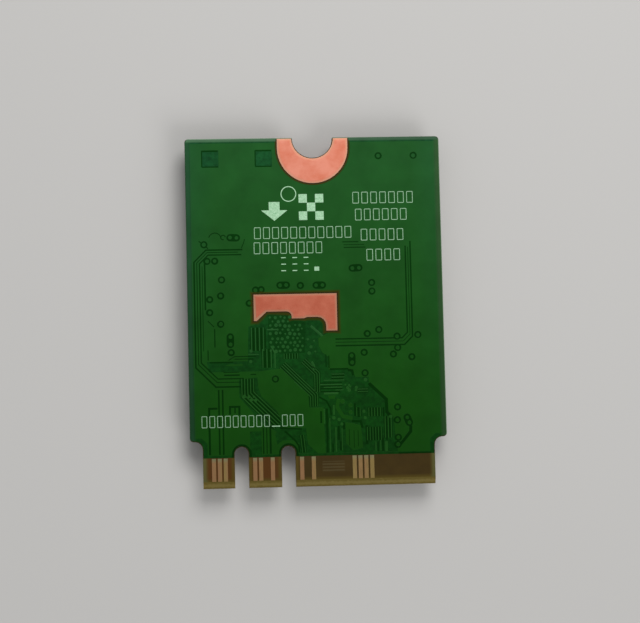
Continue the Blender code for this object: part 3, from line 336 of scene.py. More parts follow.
# Tracks that cross the bare areas: how many side by side, how far apart, width, middle line
BACK_TRACKS = [
    (4, 0.34, 0.13, [(-5.08, -1.35), (-5.08, -3.35)]),
    (1, 0.0, 0.1, [(-5.9, -3.62), (-5.0, -3.66)]),
    (3, 0.36, 0.12, [(-4.3, -3.2), (-4.3, -4.8)]),
    (1, 0.0, 0.14, [(-4.25, -1.55), (-3.4, -1.55)]),
    (1, 0.0, 0.14, [(-3.95, -2.95), (-3.62, -3.55), (-3.62, -4.85)]),
    (6, 0.235, 0.1, [(-2.25, -3.62), (-2.25, -4.08)]),
    (4, 0.2, 0.1, [(-3.0, -4.6), (-0.75, -6.85), (-0.35, -7.25), (-0.35, -8.2)]),
    (3, 0.2, 0.1, [(-1.2, -4.25), (-0.05, -5.4), (-0.05, -7.0)]),
    (1, 0.0, 0.24, [(-0.5, -1.3), (0.35, -2.05), (0.55, -2.3)]),
    (1, 0.0, 0.24, [(-0.5, -4.35), (-0.3, -4.7), (-0.3, -5.05)]),
    (2, 0.26, 0.1, [(1.2, -5.6), (2.3, -5.6)]),
    (1, 0.0, 0.1, [(0.5, -5.99), (2.3, -5.99)]),
    (1, 0.0, 0.13, [(0.2, -6.36), (2.1, -6.36)]),
    (1, 0.0, 0.11, [(0.5, -6.59), (2.1, -6.59)]),
    (1, 0.0, 0.1, [(1.5, -6.84), (2.2, -6.84)]),
    (1, 0.0, 0.2, [(0.5, -7.12), (1.75, -7.12)]),
    (2, 0.2, 0.1, [(3.4, -6.9), (4.3, -6.9)]),
    (1, 0.0, 0.16, [(0.48, -8.4), (0.48, -9.7)]),
    (1, 0.0, 0.12, [(0.95, -9.2), (0.95, -12.1)]),
    (1, 0.0, 0.18, [(1.32, -8.1), (1.32, -8.95)]),
    (1, 0.0, 0.16, [(1.45, -10.0), (1.45, -12.1)]),
    (1, 0.0, 0.12, [(1.98, -10.1), (1.98, -12.0)]),
    (2, 0.3, 0.1, [(3.43, -8.35), (3.43, -9.1)]),
    (5, 0.25, 0.11, [(4.82, -8.4), (4.82, -9.15)]),
    (6, 0.24, 0.1, [(4.75, -10.05), (4.75, -11.2)]),
    (3, 0.26, 0.12, [(5.96, -9.15), (5.96, -11.0)]),
    (1, 0.0, 0.14, [(4.85, -11.3), (4.85, -12.1)]),
    (1, 0.0, 0.12, [(5.27, -11.2), (5.27, -12.1)]),
    (1, 0.0, 0.28, [(5.75, -11.3), (5.75, -12.15)]),
    (2, 0.25, 0.1, [(-1.45, -10.6), (-1.3, -12.1)]),
    (5, 0.25, 0.11, [(-6.0, -5.7), (-6.0, -7.05), (-3.4, -9.65)]),
]


# How much wider than its tracks a bed of tracks is
BED_MARGIN = 0.1
# The dark edges of the areas kept clear behind the receptacles: how far in they lie, and their widths
KEEP_OUT_INSET = 0.06
KEEP_OUT_TOP_WIDTH = 0.16
KEEP_OUT_EDGE_WIDTH = 0.1
# On the front: the strip where tracks fan out, and the tracks' width, bends and lean
FRONT_STRIP_MARGIN = 0.4
FRONT_STRIP_ENDS = (MASK_END - 0.2, SHOULDER_Y + 0.5)
FRONT_TRACK_WIDTH = 0.12
FRONT_TRACK_STOPS = (MASK_END, -11.7, -11.2, SHOULDER_Y + 0.6)
FRONT_TRACK_LEAN = 0.04
# The gaps beside an antenna feed: their width, how far apart they are, and their ends from its receptacle
FEED_GAP_WIDTH = 0.12
FEED_GAP_PITCH = 0.46
FEED_GAP_ENDS = (1.1, 2.6)


def chip_via_places():
    """The single small vias, and the staggered rows behind the radio chip."""
    places = list(SMALL_VIAS)
    for row in range(CHIP_ROWS):
        for column in range(CHIP_COLUMNS):
            x = CHIP_CORNER[0] + (column + 0.5 * (row % 2)) * CHIP_PITCH[0]
            y = CHIP_CORNER[1] - row * CHIP_PITCH[1]
            if x < CHIP_FREE_CORNER[0] or y < CHIP_FREE_CORNER[1]:
                places.append((x, y))
    return places


def track_beds():
    """The beds of the tracks that run side by side, where painted shade darkens the mask."""
    return [ribbon(path, (count - 1) * pitch + width + BED_MARGIN)
            for count, pitch, width, path in BACK_TRACKS if count > 1]


def keep_out_lines():
    """The dark edges of the two areas kept clear behind the receptacles: upper, lower and left."""
    reach = KEEP_OUT / 2 - KEEP_OUT_INSET
    lines = []
    for x, y in RECEPTACLES:
        left, right, low, high = x - reach, x + reach, y - reach, y + reach
        lines.append(ribbon([(left, high), (right, high)], KEEP_OUT_TOP_WIDTH))
        lines.append(ribbon([(left, low), (right, low)], KEEP_OUT_EDGE_WIDTH))
        lines.append(ribbon([(left, low), (left, high)], KEEP_OUT_EDGE_WIDTH))
    return lines


def front_bare_areas():
    """The strip on the front between the contacts and the shield, where the tracks fan out."""
    places = [contact_x(name) for name in front_contacts]
    low, high = FRONT_STRIP_ENDS
    return [rectangle(min(places) - FRONT_STRIP_MARGIN, low, max(places) + FRONT_STRIP_MARGIN, high)]


def front_tracks():
    """One track up from each contact of the front, with a bend towards the card's middle."""
    start, bend, bent, end = FRONT_TRACK_STOPS
    tracks = []
    for name in front_contacts:
        x = contact_x(name)
        inner = x - FRONT_TRACK_LEAN * x
        tracks.append([(x, start), (x, bend), (inner, bent), (inner, end)])
    return tracks


def front_gaps():
    """The gaps beside each antenna feed, between its receptacle and the shield."""
    near, far = FEED_GAP_ENDS
    return [line for x, y in RECEPTACLES
            for line in parallel(2, FEED_GAP_PITCH, [(x, y - near), (x, y - far)])]


def contact_x(name):
    low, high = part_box(name)
    return (low.x + high.x) / 2 / MM


# Meshes

# In metres: how near points are one point, and how near a point's height is level with a face
SAME_POINT = 1e-7
SAME_HEIGHT = 1e-6
# In millimetres: how near points of the loops are one point
SAME_PLACE = 1e-4


def add_piece(name, mesh, material):
    """A finished piece, riding on the card."""
    piece = bpy.data.objects.new(name, mesh)
    bpy.context.scene.collection.objects.link(piece)
    mesh.materials.clear()
    mesh.materials.append(material)
    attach(piece, "root")
    return piece


def rim_loops(node, bonded_z):
    """The rims of a CAD layer's bonded face in millimetres: its outline first, then its windows.

    Faces are taken in the mesh's own order, so each run finds the rims in the same order too.
    """
    work = bmesh.new()
    work.from_mesh(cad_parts[node].data)
    bmesh.ops.remove_doubles(work, verts=work.verts, dist=SAME_POINT)
    flat = [face for face in work.faces
            if all(abs(vert.co.z - bonded_z) < SAME_HEIGHT for vert in face.verts)]
    bonded = set(flat)
    following = {}
    for face in flat:
        for loop in face.loops:
            if not any(other in bonded for other in loop.edge.link_faces if other is not face):
                following[loop.vert] = loop.link_loop_next.vert
    loops = []
    while following:
        start = next(iter(following))
        vert = following.pop(start)
        points = [start.co.xy / MM]
        while vert is not start:
            points.append(vert.co.xy / MM)
            vert = following.pop(vert)
        loops.append(counter_clockwise([tuple(point) for point in points]))
    work.free()
    return sorted(loops, key=signed_area, reverse=True)


def closed_sheet(name, points, triangles, heights, foot_z, shaded_faces, painted_rim):
    """A closed sheet whose upper side has its own height at each point, over a flat lower side.

    Points are in millimetres, heights in metres. The argument after foot_z gives the share of painted
    shade of some upper faces, kept as a face attribute, and the upper points in the last argument get
    the attribute rim, which the finishes paint as shade on the mask and as a highlight on copper.
    """
    work = bmesh.new()
    film = work.faces.layers.float.new("painted_gap_shade")
    rim = work.verts.layers.float.new("rim")
    upper, lower = {}, {}
    for index in sorted({index for triangle in triangles for index in triangle}):
        x, y = points[index] * MM
        upper[index] = work.verts.new((x, y, heights[index]))
        upper[index][rim] = float(index in painted_rim)
        lower[index] = work.verts.new((x, y, foot_z))
    open_edges = {}
    for order, triangle in enumerate(triangles):
        work.faces.new([upper[index] for index in triangle])[film] = shaded_faces.get(order, 0.0)
        work.faces.new([lower[index] for index in reversed(triangle)])
        for first, second in zip(triangle, triangle[1:] + triangle[:1]):
            if open_edges.pop((second, first), None) is None:
                open_edges[(first, second)] = True
    for first, second in open_edges:
        work.faces.new((upper[second], upper[first], lower[first], lower[second]))
    bmesh.ops.recalc_face_normals(work, faces=work.faces)
    mesh = bpy.data.meshes.new(name)
    work.to_mesh(mesh)
    work.free()
    return mesh


def laid_out(shapes):
    """All loops cut into one set of triangles: its points, triangles and the kinds of loop round each."""
    points, polygons = [], []
    for _, loop in shapes:
        polygons.append(list(range(len(points), len(points) + len(loop))))
        points += [Vector(point) for point in loop]
    flat, _, triangles, _, _, sources = delaunay_2d_cdt(points, [], polygons, 1, SAME_PLACE, True)
    kinds = [{shapes[index][0] for index in inside} for inside in sources]
    return flat, [list(triangle) for triangle in triangles], kinds


def relief_sheet(name, node, facing, layout):
    """The mask as one closed sheet that stands high over copper and sinks where there is none.

    facing is +1 for the back of the card and -1 for its front. The layout holds loops by kind:
    copper, island, gap, narrow, band, field and rim. Each edge of the copper becomes a sloping
    wall. The sheet keeps the outline, windows and height of its CAD layer. Painted shade darkens
    the mask in narrow gaps and bands, and half as much in fields: the faces there carry their share
    of it as a face attribute. Painted shade also darkens the mask's rims round bare copper: their
    points carry the attribute rim.
    """
    settings = bpy.context.scene.card_mask
    slope = settings.wall_slope / MM
    low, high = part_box(node)
    bonded_z, top_z = (low.z, high.z) if facing > 0 else (high.z, low.z)
    floor_z = top_z - facing * settings.relief
    rims = rim_loops(node, bonded_z)
    shapes = [("sheet", rims[0])] + [("window", loop) for loop in rims[1:]]
    walls = {"copper": slope, "island": slope, "gap": -slope, "narrow": -slope, "rim": RIM_FADE - RIM_WIDTH}
    for kind, loops in layout.items():
        for loop in map(counter_clockwise, loops):
            shapes.append((kind, loop))
            if kind in walls:
                shapes.append(("foot", spread(loop, walls[kind])))
    flat, triangles, kinds = laid_out(shapes)
    kept, shaded_faces, raised, painted_rim = [], {}, set(), set()
    for triangle, inside in zip(triangles, kinds):
        if "sheet" not in inside or "window" in inside:
            continue
        shaded_faces[len(kept)] = max(GAP_SHADE_SHARES.get(kind, 0.0) for kind in inside)
        if "rim" in inside:
            painted_rim.update(triangle)
        if "narrow" not in inside and ("island" in inside or ("copper" in inside and "gap" not in inside)):
            raised.update(triangle)
        kept.append(triangle)
    heights = [top_z if index in raised else floor_z for index in range(len(flat))]
    return closed_sheet(name, flat, kept, heights, bonded_z, shaded_faces, painted_rim)


def rimmed_plate(name, node, facing):
    """A copper plate of the CAD whose edge the etch has rounded. Points there carry the attribute rim, for a
    painted highlight.
    """
    low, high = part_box(node)
    face_z, foot_z = (high.z, low.z) if facing > 0 else (low.z, high.z)
    outline = rim_loops(node, face_z)[0]
    flat, triangles, kinds = laid_out([("plate", outline), ("middle", spread(outline, -PLATE_RIM))])
    kept = [triangle for triangle, inside in zip(triangles, kinds) if "plate" in inside]
    middle = {index for triangle, inside in zip(triangles, kinds)
              if "middle" in inside for index in triangle}
    edge_z = face_z - facing * PLATE_RIM_DROP * MM
    heights = [face_z if index in middle else edge_z for index in range(len(flat))]
    edge = set(range(len(flat))) - middle
    return closed_sheet(name, flat, kept, heights, foot_z, {}, edge)


def path_mesh(name, open_paths, closed_paths, z):
    """Paths in millimetres as a mesh of bare edges at one height."""
    points, edges = [], []
    for path, closed in [(path, False) for path in open_paths] + [(path, True) for path in closed_paths]:
        first = len(points)
        points += [(x * MM, y * MM, z) for x, y in path]
        edges += [(index, index + 1) for index in range(first, len(points) - 1)]
        if closed:
            edges.append((len(points) - 1, first))
    mesh = bpy.data.meshes.new(name)
    mesh.from_pydata(points, edges, [])
    return mesh


def run_tree(name, mesh, tree, inputs, facing=1):
    """Run a Geometry Nodes tree on a mesh and keep its result as a plain mesh.

    With facing -1 the result is turned over, about the height of its own paths or places.
    """
    holder = bpy.data.objects.new(name + "_guide", mesh)
    bpy.context.scene.collection.objects.link(holder)
    modifier = holder.modifiers.new(tree.name, "NODES")
    modifier.node_group = tree
    for item in tree.interface.items_tree:
        if item.item_type == "SOCKET" and item.in_out == "INPUT" and item.name in inputs:
            modifier[item.identifier] = inputs[item.name]
    guide_z = mesh.vertices[0].co.z
    evaluated = holder.evaluated_get(bpy.context.evaluated_depsgraph_get())
    result = bpy.data.meshes.new_from_object(evaluated)
    result.name = name
    holder.modifiers.remove(modifier)
    bpy.data.objects.remove(holder)
    if facing < 0:
        turn_over = Matrix.Translation((0, 0, guide_z)) @ Matrix.Diagonal((1, 1, -1, 1))
        result.transform(turn_over @ Matrix.Translation((0, 0, -guide_z)))
        result.flip_normals()
    return result


# Node trees

# How many points a rounded bend of a strip gets
BEND_POINTS = 3
# A via land: its sides, how wide its crown and hole are, how deep its dimple is, and the seed of its turn
LAND_SIDES = 14
LAND_CROWN_SHARE = 0.85
LAND_HOLE_SHARE = 0.4
LAND_DIMPLE_SHARE = 0.2
LAND_SEED = 7


def set_inputs(tree, node, inputs):
    """Link or set a node's inputs, given by name or number."""
    for key, value in inputs.items():
        if isinstance(value, bpy.types.NodeSocket):
            tree.links.new(value, node.inputs[key])
        else:
            node.inputs[key].default_value = value


def add_node(tree, kind, inputs=None, **settings):
    """Add a node, with its options and its inputs."""
    node = tree.nodes.new(kind)
    for key, value in settings.items():
        setattr(node, key, value)
    set_inputs(tree, node, inputs or {})
    return node


def new_geometry_tree(name, inputs):
    """A Geometry Nodes tree with a geometry in and out, and named inputs with their defaults."""
    tree = bpy.data.node_groups.new(name, "GeometryNodeTree")
    tree.interface.new_socket("Geometry", in_out="INPUT", socket_type="NodeSocketGeometry")
    tree.interface.new_socket("Geometry", in_out="OUTPUT", socket_type="NodeSocketGeometry")
    for label, (kind, default) in inputs.items():
        socket = tree.interface.new_socket(label, in_out="INPUT", socket_type="NodeSocket" + kind)
        if default is not None:
            socket.default_value = default
        if kind == "Float":
            socket.subtype = "DISTANCE"
    return tree, tree.nodes.new("NodeGroupInput").outputs


def close_tree(tree, geometry, material):
    """End a tree in plain geometry of one material."""
    real = add_node(tree, "GeometryNodeRealizeInstances", {"Geometry": geometry})
    painted = add_node(tree, "GeometryNodeSetMaterial", {"Geometry": real.outputs[0], "Material": material})
    output = tree.nodes.new("NodeGroupOutput")
    tree.links.new(painted.outputs[0], output.inputs[0])


def swept_strip_tree():
    """A strip that stands on paths: wide at its foot, narrower at its crown, with rounded bends."""
    tree, given = new_geometry_tree("Swept strip", {
        "Foot Width": ("Float", 0.12 * MM), "Crown Width": ("Float", 0.08 * MM), "Lean": ("Float", 0.0),
        "Height": ("Float", 0.014 * MM), "Bend Radius": ("Float", 0.1 * MM), "Material": ("Material", None),
    })
    path = add_node(tree, "GeometryNodeMeshToCurve", {"Mesh": given["Geometry"]})
    bent = add_node(tree, "GeometryNodeFilletCurve", {
        "Curve": path.outputs[0], "Count": BEND_POINTS, "Radius": given["Bend Radius"], "Limit Radius": True,
    }, mode="POLY")
    upright = add_node(tree, "GeometryNodeSetCurveNormal", {"Curve": bent.outputs[0]}, mode="Z_UP")
    section = add_node(tree, "GeometryNodeCurvePrimitiveQuadrilateral", {
        "Height": given["Height"], "Bottom Width": given["Crown Width"], "Top Width": given["Foot Width"],
        "Offset": given["Lean"],
    }, mode="TRAPEZOID")
    half = add_node(tree, "ShaderNodeMath", {0: given["Height"], 1: -0.5}, operation="MULTIPLY")
    lift = add_node(tree, "ShaderNodeCombineXYZ", {"Y": half.outputs[0]})
    stood = add_node(tree, "GeometryNodeTransform", {
        "Geometry": section.outputs[0], "Translation": lift.outputs[0]})
    swept = add_node(tree, "GeometryNodeCurveToMesh", {
        "Curve": upright.outputs[0], "Profile Curve": stood.outputs[0], "Fill Caps": True,
    })
    close_tree(tree, swept.outputs[0], given["Material"])
    return tree


def via_land_tree():
    """A round land near each point, with the shallow dimple that the mask leaves over a plugged hole."""
    tree, given = new_geometry_tree("Via land", {
        "Radius": ("Float", 0.15 * MM), "Height": ("Float", 0.014 * MM), "Hole Radius": ("Float", 0.07 * MM),
        "Dimple Depth": ("Float", 0.01 * MM), "Scatter": ("Float", 0.0), "Least Size": ("Float", 1.0),
        "Seed": ("Int", LAND_SEED), "Material": ("Material", None),
    })
    crown = add_node(tree, "ShaderNodeMath", {
        0: given["Radius"], 1: LAND_CROWN_SHARE}, operation="MULTIPLY")
    disc = add_node(tree, "GeometryNodeMeshCone", {
        "Vertices": LAND_SIDES, "Radius Bottom": given["Radius"], "Radius Top": crown.outputs[0],
        "Depth": given["Height"],
    }, fill_type="NGON")
    inner = add_node(tree, "GeometryNodeExtrudeMesh", {
        "Mesh": disc.outputs["Mesh"], "Selection": disc.outputs["Top"], "Offset Scale": 0.0,
    }, mode="FACES")
    share = add_node(tree, "ShaderNodeMath", {
        0: given["Hole Radius"], 1: crown.outputs[0]}, operation="DIVIDE")
    narrowed = add_node(tree, "GeometryNodeScaleElements", {
        "Geometry": inner.outputs["Mesh"], "Selection": inner.outputs["Top"], "Scale": share.outputs[0],
    }, domain="FACE")
    depth = add_node(tree, "ShaderNodeMath", {0: given["Dimple Depth"], 1: -1.0}, operation="MULTIPLY")
    sink = add_node(tree, "ShaderNodeCombineXYZ", {"Z": depth.outputs[0]})
    dimpled = add_node(tree, "GeometryNodeSetPosition", {
        "Geometry": narrowed.outputs[0], "Selection": inner.outputs["Top"], "Offset": sink.outputs[0],
    })
    turn = add_node(tree, "FunctionNodeRandomValue", {
        0: (0.0, 0.0, 0.0), 1: (0.0, 0.0, math.tau), "Seed": given["Seed"],
    }, data_type="FLOAT_VECTOR")
    aside = add_node(tree, "FunctionNodeRandomValue", {
        0: (-1.0, -1.0, 0.0), 1: (1.0, 1.0, 0.0), "Seed": given["Seed"],
    }, data_type="FLOAT_VECTOR")
    shift = add_node(tree, "ShaderNodeVectorMath", {
        0: aside.outputs[0], "Scale": given["Scatter"]}, operation="SCALE")
    size = add_node(tree, "FunctionNodeRandomValue", {
        2: given["Least Size"], 3: 1.0, "Seed": given["Seed"]}, data_type="FLOAT")
    scale = add_node(tree, "ShaderNodeCombineXYZ", {"X": size.outputs[1], "Y": size.outputs[1], "Z": 1.0})
    spots = add_node(tree, "GeometryNodeMeshToPoints", {"Mesh": given["Geometry"]})
    scattered = add_node(tree, "GeometryNodeSetPosition", {
        "Geometry": spots.outputs[0], "Offset": shift.outputs[0]})
    placed = add_node(tree, "GeometryNodeInstanceOnPoints", {
        "Points": scattered.outputs[0], "Instance": dimpled.outputs[0], "Rotation": turn.outputs[0],
        "Scale": scale.outputs[0],
    })
    close_tree(tree, placed.outputs[0], given["Material"])
    return tree


# Finishes: each is laid out from a place on the part, and gives the inputs of the shader

def from_hex(code):
    """An sRGB colour such as #1E5520 as linear values."""
    values = []
    for start in (1, 3, 5):
        value = int(code[start:start + 2], 16) / 255
        values.append(value / 12.92 if value <= 0.04045 else ((value + 0.055) / 1.055) ** 2.4)
    return (*values, 1.0)


def surface(name, finish, *values):
    """The material of this name, made the first time that it is asked for."""
    material = bpy.data.materials.get(name)
    if material is None:
        material = bpy.data.materials.new(name)
        material.use_nodes = True
        tree = material.node_tree
        place = add_node(tree, "ShaderNodeTexCoord").outputs["Object"]
        set_inputs(tree, tree.nodes["Principled BSDF"], finish(tree, place, *values))
    return material


def per_metre(size):
    """The scale of a noise whose features are about this size."""
    return 1.0 / size


def wave_scale(pitch):
    """The scale of a wave texture whose bands lie this far apart."""
    return math.tau / pitch / 20


def weave_height(tree, place):
    """The faint print of the glass cloth: two sets of yarns, at the pitch of the real cloth."""
    across = add_node(tree, "ShaderNodeTexWave", {
        "Vector": place, "Scale": wave_scale(WEAVE_PITCH_X), "Distortion": 0.6, "Detail": 0.0,
    }, bands_direction="X")
    along = add_node(tree, "ShaderNodeTexWave", {
        "Vector": place, "Scale": wave_scale(WEAVE_PITCH_Y), "Distortion": 0.6, "Detail": 0.0,
    }, bands_direction="Y")
    return add_node(tree, "ShaderNodeMath", {0: across.outputs["Fac"], 1: along.outputs["Fac"]},
                    operation="MULTIPLY").outputs[0]


def inside_box(tree, axes, middle, reach):
    """1 inside a rectangle seen from above, 0 outside it, with a soft edge."""
    shares = []
    for axis, centre, half in zip("XY", middle, reach):
        away = add_node(tree, "ShaderNodeMath", {0: axes.outputs[axis], 1: centre}, operation="SUBTRACT")
        apart = add_node(tree, "ShaderNodeMath", {0: away.outputs[0]}, operation="ABSOLUTE")
        shares.append(add_node(tree, "ShaderNodeMapRange", {0: apart.outputs[0], 1: half, 2: 0.9 * half}))
    return add_node(tree, "ShaderNodeMath", {0: shares[0].outputs[0], 1: shares[1].outputs[0]},
                    operation="MULTIPLY").outputs[0]


def edge_strips(tree, axes, colour, sides, top):
    """A colour with a strip of its own along the card's two sides, and then along its top.

    Each strip is: where it starts and is full, how strong it is, and its colour at left and right.
    """
    side = add_node(tree, "ShaderNodeMath", {0: axes.outputs["X"]}, operation="ABSOLUTE")
    across = add_node(tree, "ShaderNodeMapRange", {0: axes.outputs["X"], 1: -9.0 * MM, 2: 9.0 * MM})
    for reach, strip in ((side.outputs[0], sides), (axes.outputs["Y"], top)):
        start, full, strength, left, right = strip
        share = add_node(tree, "ShaderNodeMapRange", {0: reach, 1: start * MM, 2: full * MM, 4: strength})
        own = add_node(tree, "ShaderNodeMix", {
            0: across.outputs[0], 6: from_hex(left), 7: from_hex(right)}, data_type="RGBA")
        colour = add_node(tree, "ShaderNodeMix", {
            0: share.outputs[0], 6: colour, 7: own.outputs[2]}, data_type="RGBA").outputs[2]
    return colour


def solder_mask_finish(tree, place, over_raised):
    """Photoimageable epoxy solder mask, flooded on and cured.

    It gives the eye a satin green that is bright over raised copper and deep where there is only
    laminate below, with a faint mottle and the print of the cloth. Painted shade darkens it in narrow
    gaps, beds of tracks and slot rims, half as much behind the radio chip, and along the edges of bare
    copper. A painted sheen makes it greyer and more blue along the card's sides and top. Painted light
    from above the notch and painted sheen make it lighter and more blue towards the notch, and darker
    and yellower towards the contacts.
    """
    colours = bpy.context.scene.card_mask
    relief = colours.relief
    axes = add_node(tree, "ShaderNodeSeparateXYZ", {0: place})
    back = add_node(tree, "ShaderNodeMapRange", {
        0: axes.outputs["Z"], 1: back_high - relief, 2: back_high - 0.2 * relief})
    front = add_node(tree, "ShaderNodeMapRange", {
        0: axes.outputs["Z"], 1: front_low + relief, 2: front_low + 0.2 * relief})
    copper = add_node(tree, "ShaderNodeMath", {0: back.outputs[0], 1: front.outputs[0]}, operation="MAXIMUM")
    # The share of painted shade of each face: in narrow gaps, beds of tracks and slot rims, and half as much
    # behind the radio chip
    film = add_node(tree, "ShaderNodeAttribute", attribute_name="painted_gap_shade")
    cloth_shade = add_node(tree, "ShaderNodeTexNoise", {
        "Vector": place, "Scale": per_metre(0.35 * MM), "Detail": 3.0, "Roughness": 0.6})
    uneven = add_node(tree, "ShaderNodeMapRange", {
        0: cloth_shade.outputs["Fac"], 1: 0.35, 2: 0.65, 3: 0.78, 4: 1.2})
    bare = add_node(tree, "ShaderNodeVectorMath", {
        0: colours.over_laminate[:3], "Scale": uneven.outputs[0]}, operation="SCALE")
    # Darkened by painted shade where that share is set
    sunk = add_node(tree, "ShaderNodeMix", {
        0: film.outputs["Fac"], 6: bare.outputs[0], 7: colours.shaded_gaps}, data_type="RGBA")
    over = add_node(tree, "ShaderNodeMix", {
        0: copper.outputs[0], 6: sunk.outputs[2], 7: over_raised}, data_type="RGBA")
    # Painted sheen that grows towards the notch: greyer and more blue there, yellower towards the contacts
    painted_top_sheen = add_node(tree, "ShaderNodeMapRange", {0: axes.outputs["Y"], 1: -8.0 * MM, 2: 13.0 * MM})
    tint = add_node(tree, "ShaderNodeMix", {
        0: painted_top_sheen.outputs[0], 6: (0.95, 1.0, 0.6, 1.0), 7: (1.4, 1.04, 1.95, 1.0)}, data_type="RGBA")
    # Painted sheen along the card's sides: more blue towards them
    side = add_node(tree, "ShaderNodeMath", {0: axes.outputs["X"]}, operation="ABSOLUTE")
    outwards = add_node(tree, "ShaderNodeMapRange", {0: side.outputs[0], 1: 8.5 * MM, 2: 10.4 * MM})
    sideways = add_node(tree, "ShaderNodeMix", {
        0: outwards.outputs[0], 6: (1.0, 1.0, 1.0, 1.0), 7: (1.05, 1.0, 1.3, 1.0)}, data_type="RGBA")
    both_tints = add_node(tree, "ShaderNodeVectorMath", {
        0: tint.outputs[2], 1: sideways.outputs[2]}, operation="MULTIPLY")
    tinted = add_node(tree, "ShaderNodeVectorMath", {
        0: over.outputs[2], 1: both_tints.outputs[0]}, operation="MULTIPLY")
    # Painted shade along the edges of bare copper: a dark brownish line
    painted_rim = add_node(tree, "ShaderNodeAttribute", attribute_name="rim")
    rim_shaded = add_node(tree, "ShaderNodeMix", {
        0: painted_rim.outputs["Fac"], 6: tinted.outputs[0], 7: from_hex("#353407")}, data_type="RGBA")
    # Painted sheen along the card's sides and top, lighter and greyer at the top's left end
    edge_sheen = edge_strips(
        tree, axes, rim_shaded.outputs[2],
        (CARD_HALF_WIDTH - 0.55, CARD_HALF_WIDTH - 0.3, 0.95, "#20452A", "#2C4B29"),
        (CARD_TOP - 0.34, CARD_TOP - 0.2, 0.95, "#46664B", "#36523C"))

    clouds = add_node(tree, "ShaderNodeTexNoise", {
        "Vector": place, "Scale": per_metre(2.5 * MM), "Detail": 3.0, "Roughness": 0.55})
    shade = add_node(tree, "ShaderNodeMapRange", {
        0: clouds.outputs["Fac"], 1: 0.3, 2: 0.7, 3: 0.88, 4: 1.12})
    # Painted light that falls from above the notch: lighter towards the notch, darker towards the contacts
    thinner = add_node(tree, "ShaderNodeMapRange", {
        0: axes.outputs["Y"], 1: -12.0 * MM, 2: 13.0 * MM, 3: 0.77, 4: 1.29})
    mottle_and_top_light = add_node(tree, "ShaderNodeMath", {
        0: shade.outputs[0], 1: thinner.outputs[0]}, operation="MULTIPLY")
    mottled_and_top_lit = add_node(tree, "ShaderNodeVectorMath", {
        0: edge_sheen, "Scale": mottle_and_top_light.outputs[0]}, operation="SCALE")

    # Levelling of the wet film, coarser than real so that it shows
    wet = add_node(tree, "ShaderNodeTexNoise", {
        "Vector": place, "Scale": per_metre(0.6 * MM), "Detail": 2.0, "Roughness": 0.5})
    gloss = add_node(tree, "ShaderNodeMapRange", {0: wet.outputs["Fac"], 1: 0.3, 2: 0.7, 3: 0.28, 4: 0.38})
    cloth = add_node(tree, "ShaderNodeBump", {
        "Strength": 0.25, "Distance": 0.003 * MM, "Height": weave_height(tree, place)})
    levelled = add_node(tree, "ShaderNodeBump", {
        "Strength": 0.5, "Distance": 0.004 * MM, "Height": wet.outputs["Fac"], "Normal": cloth.outputs[0]})
    return {
        "Base Color": mottled_and_top_lit.outputs[0], "Roughness": gloss.outputs[0], "Normal": levelled.outputs[0],
        "IOR": 1.52, "Specular IOR Level": 0.05,
    }


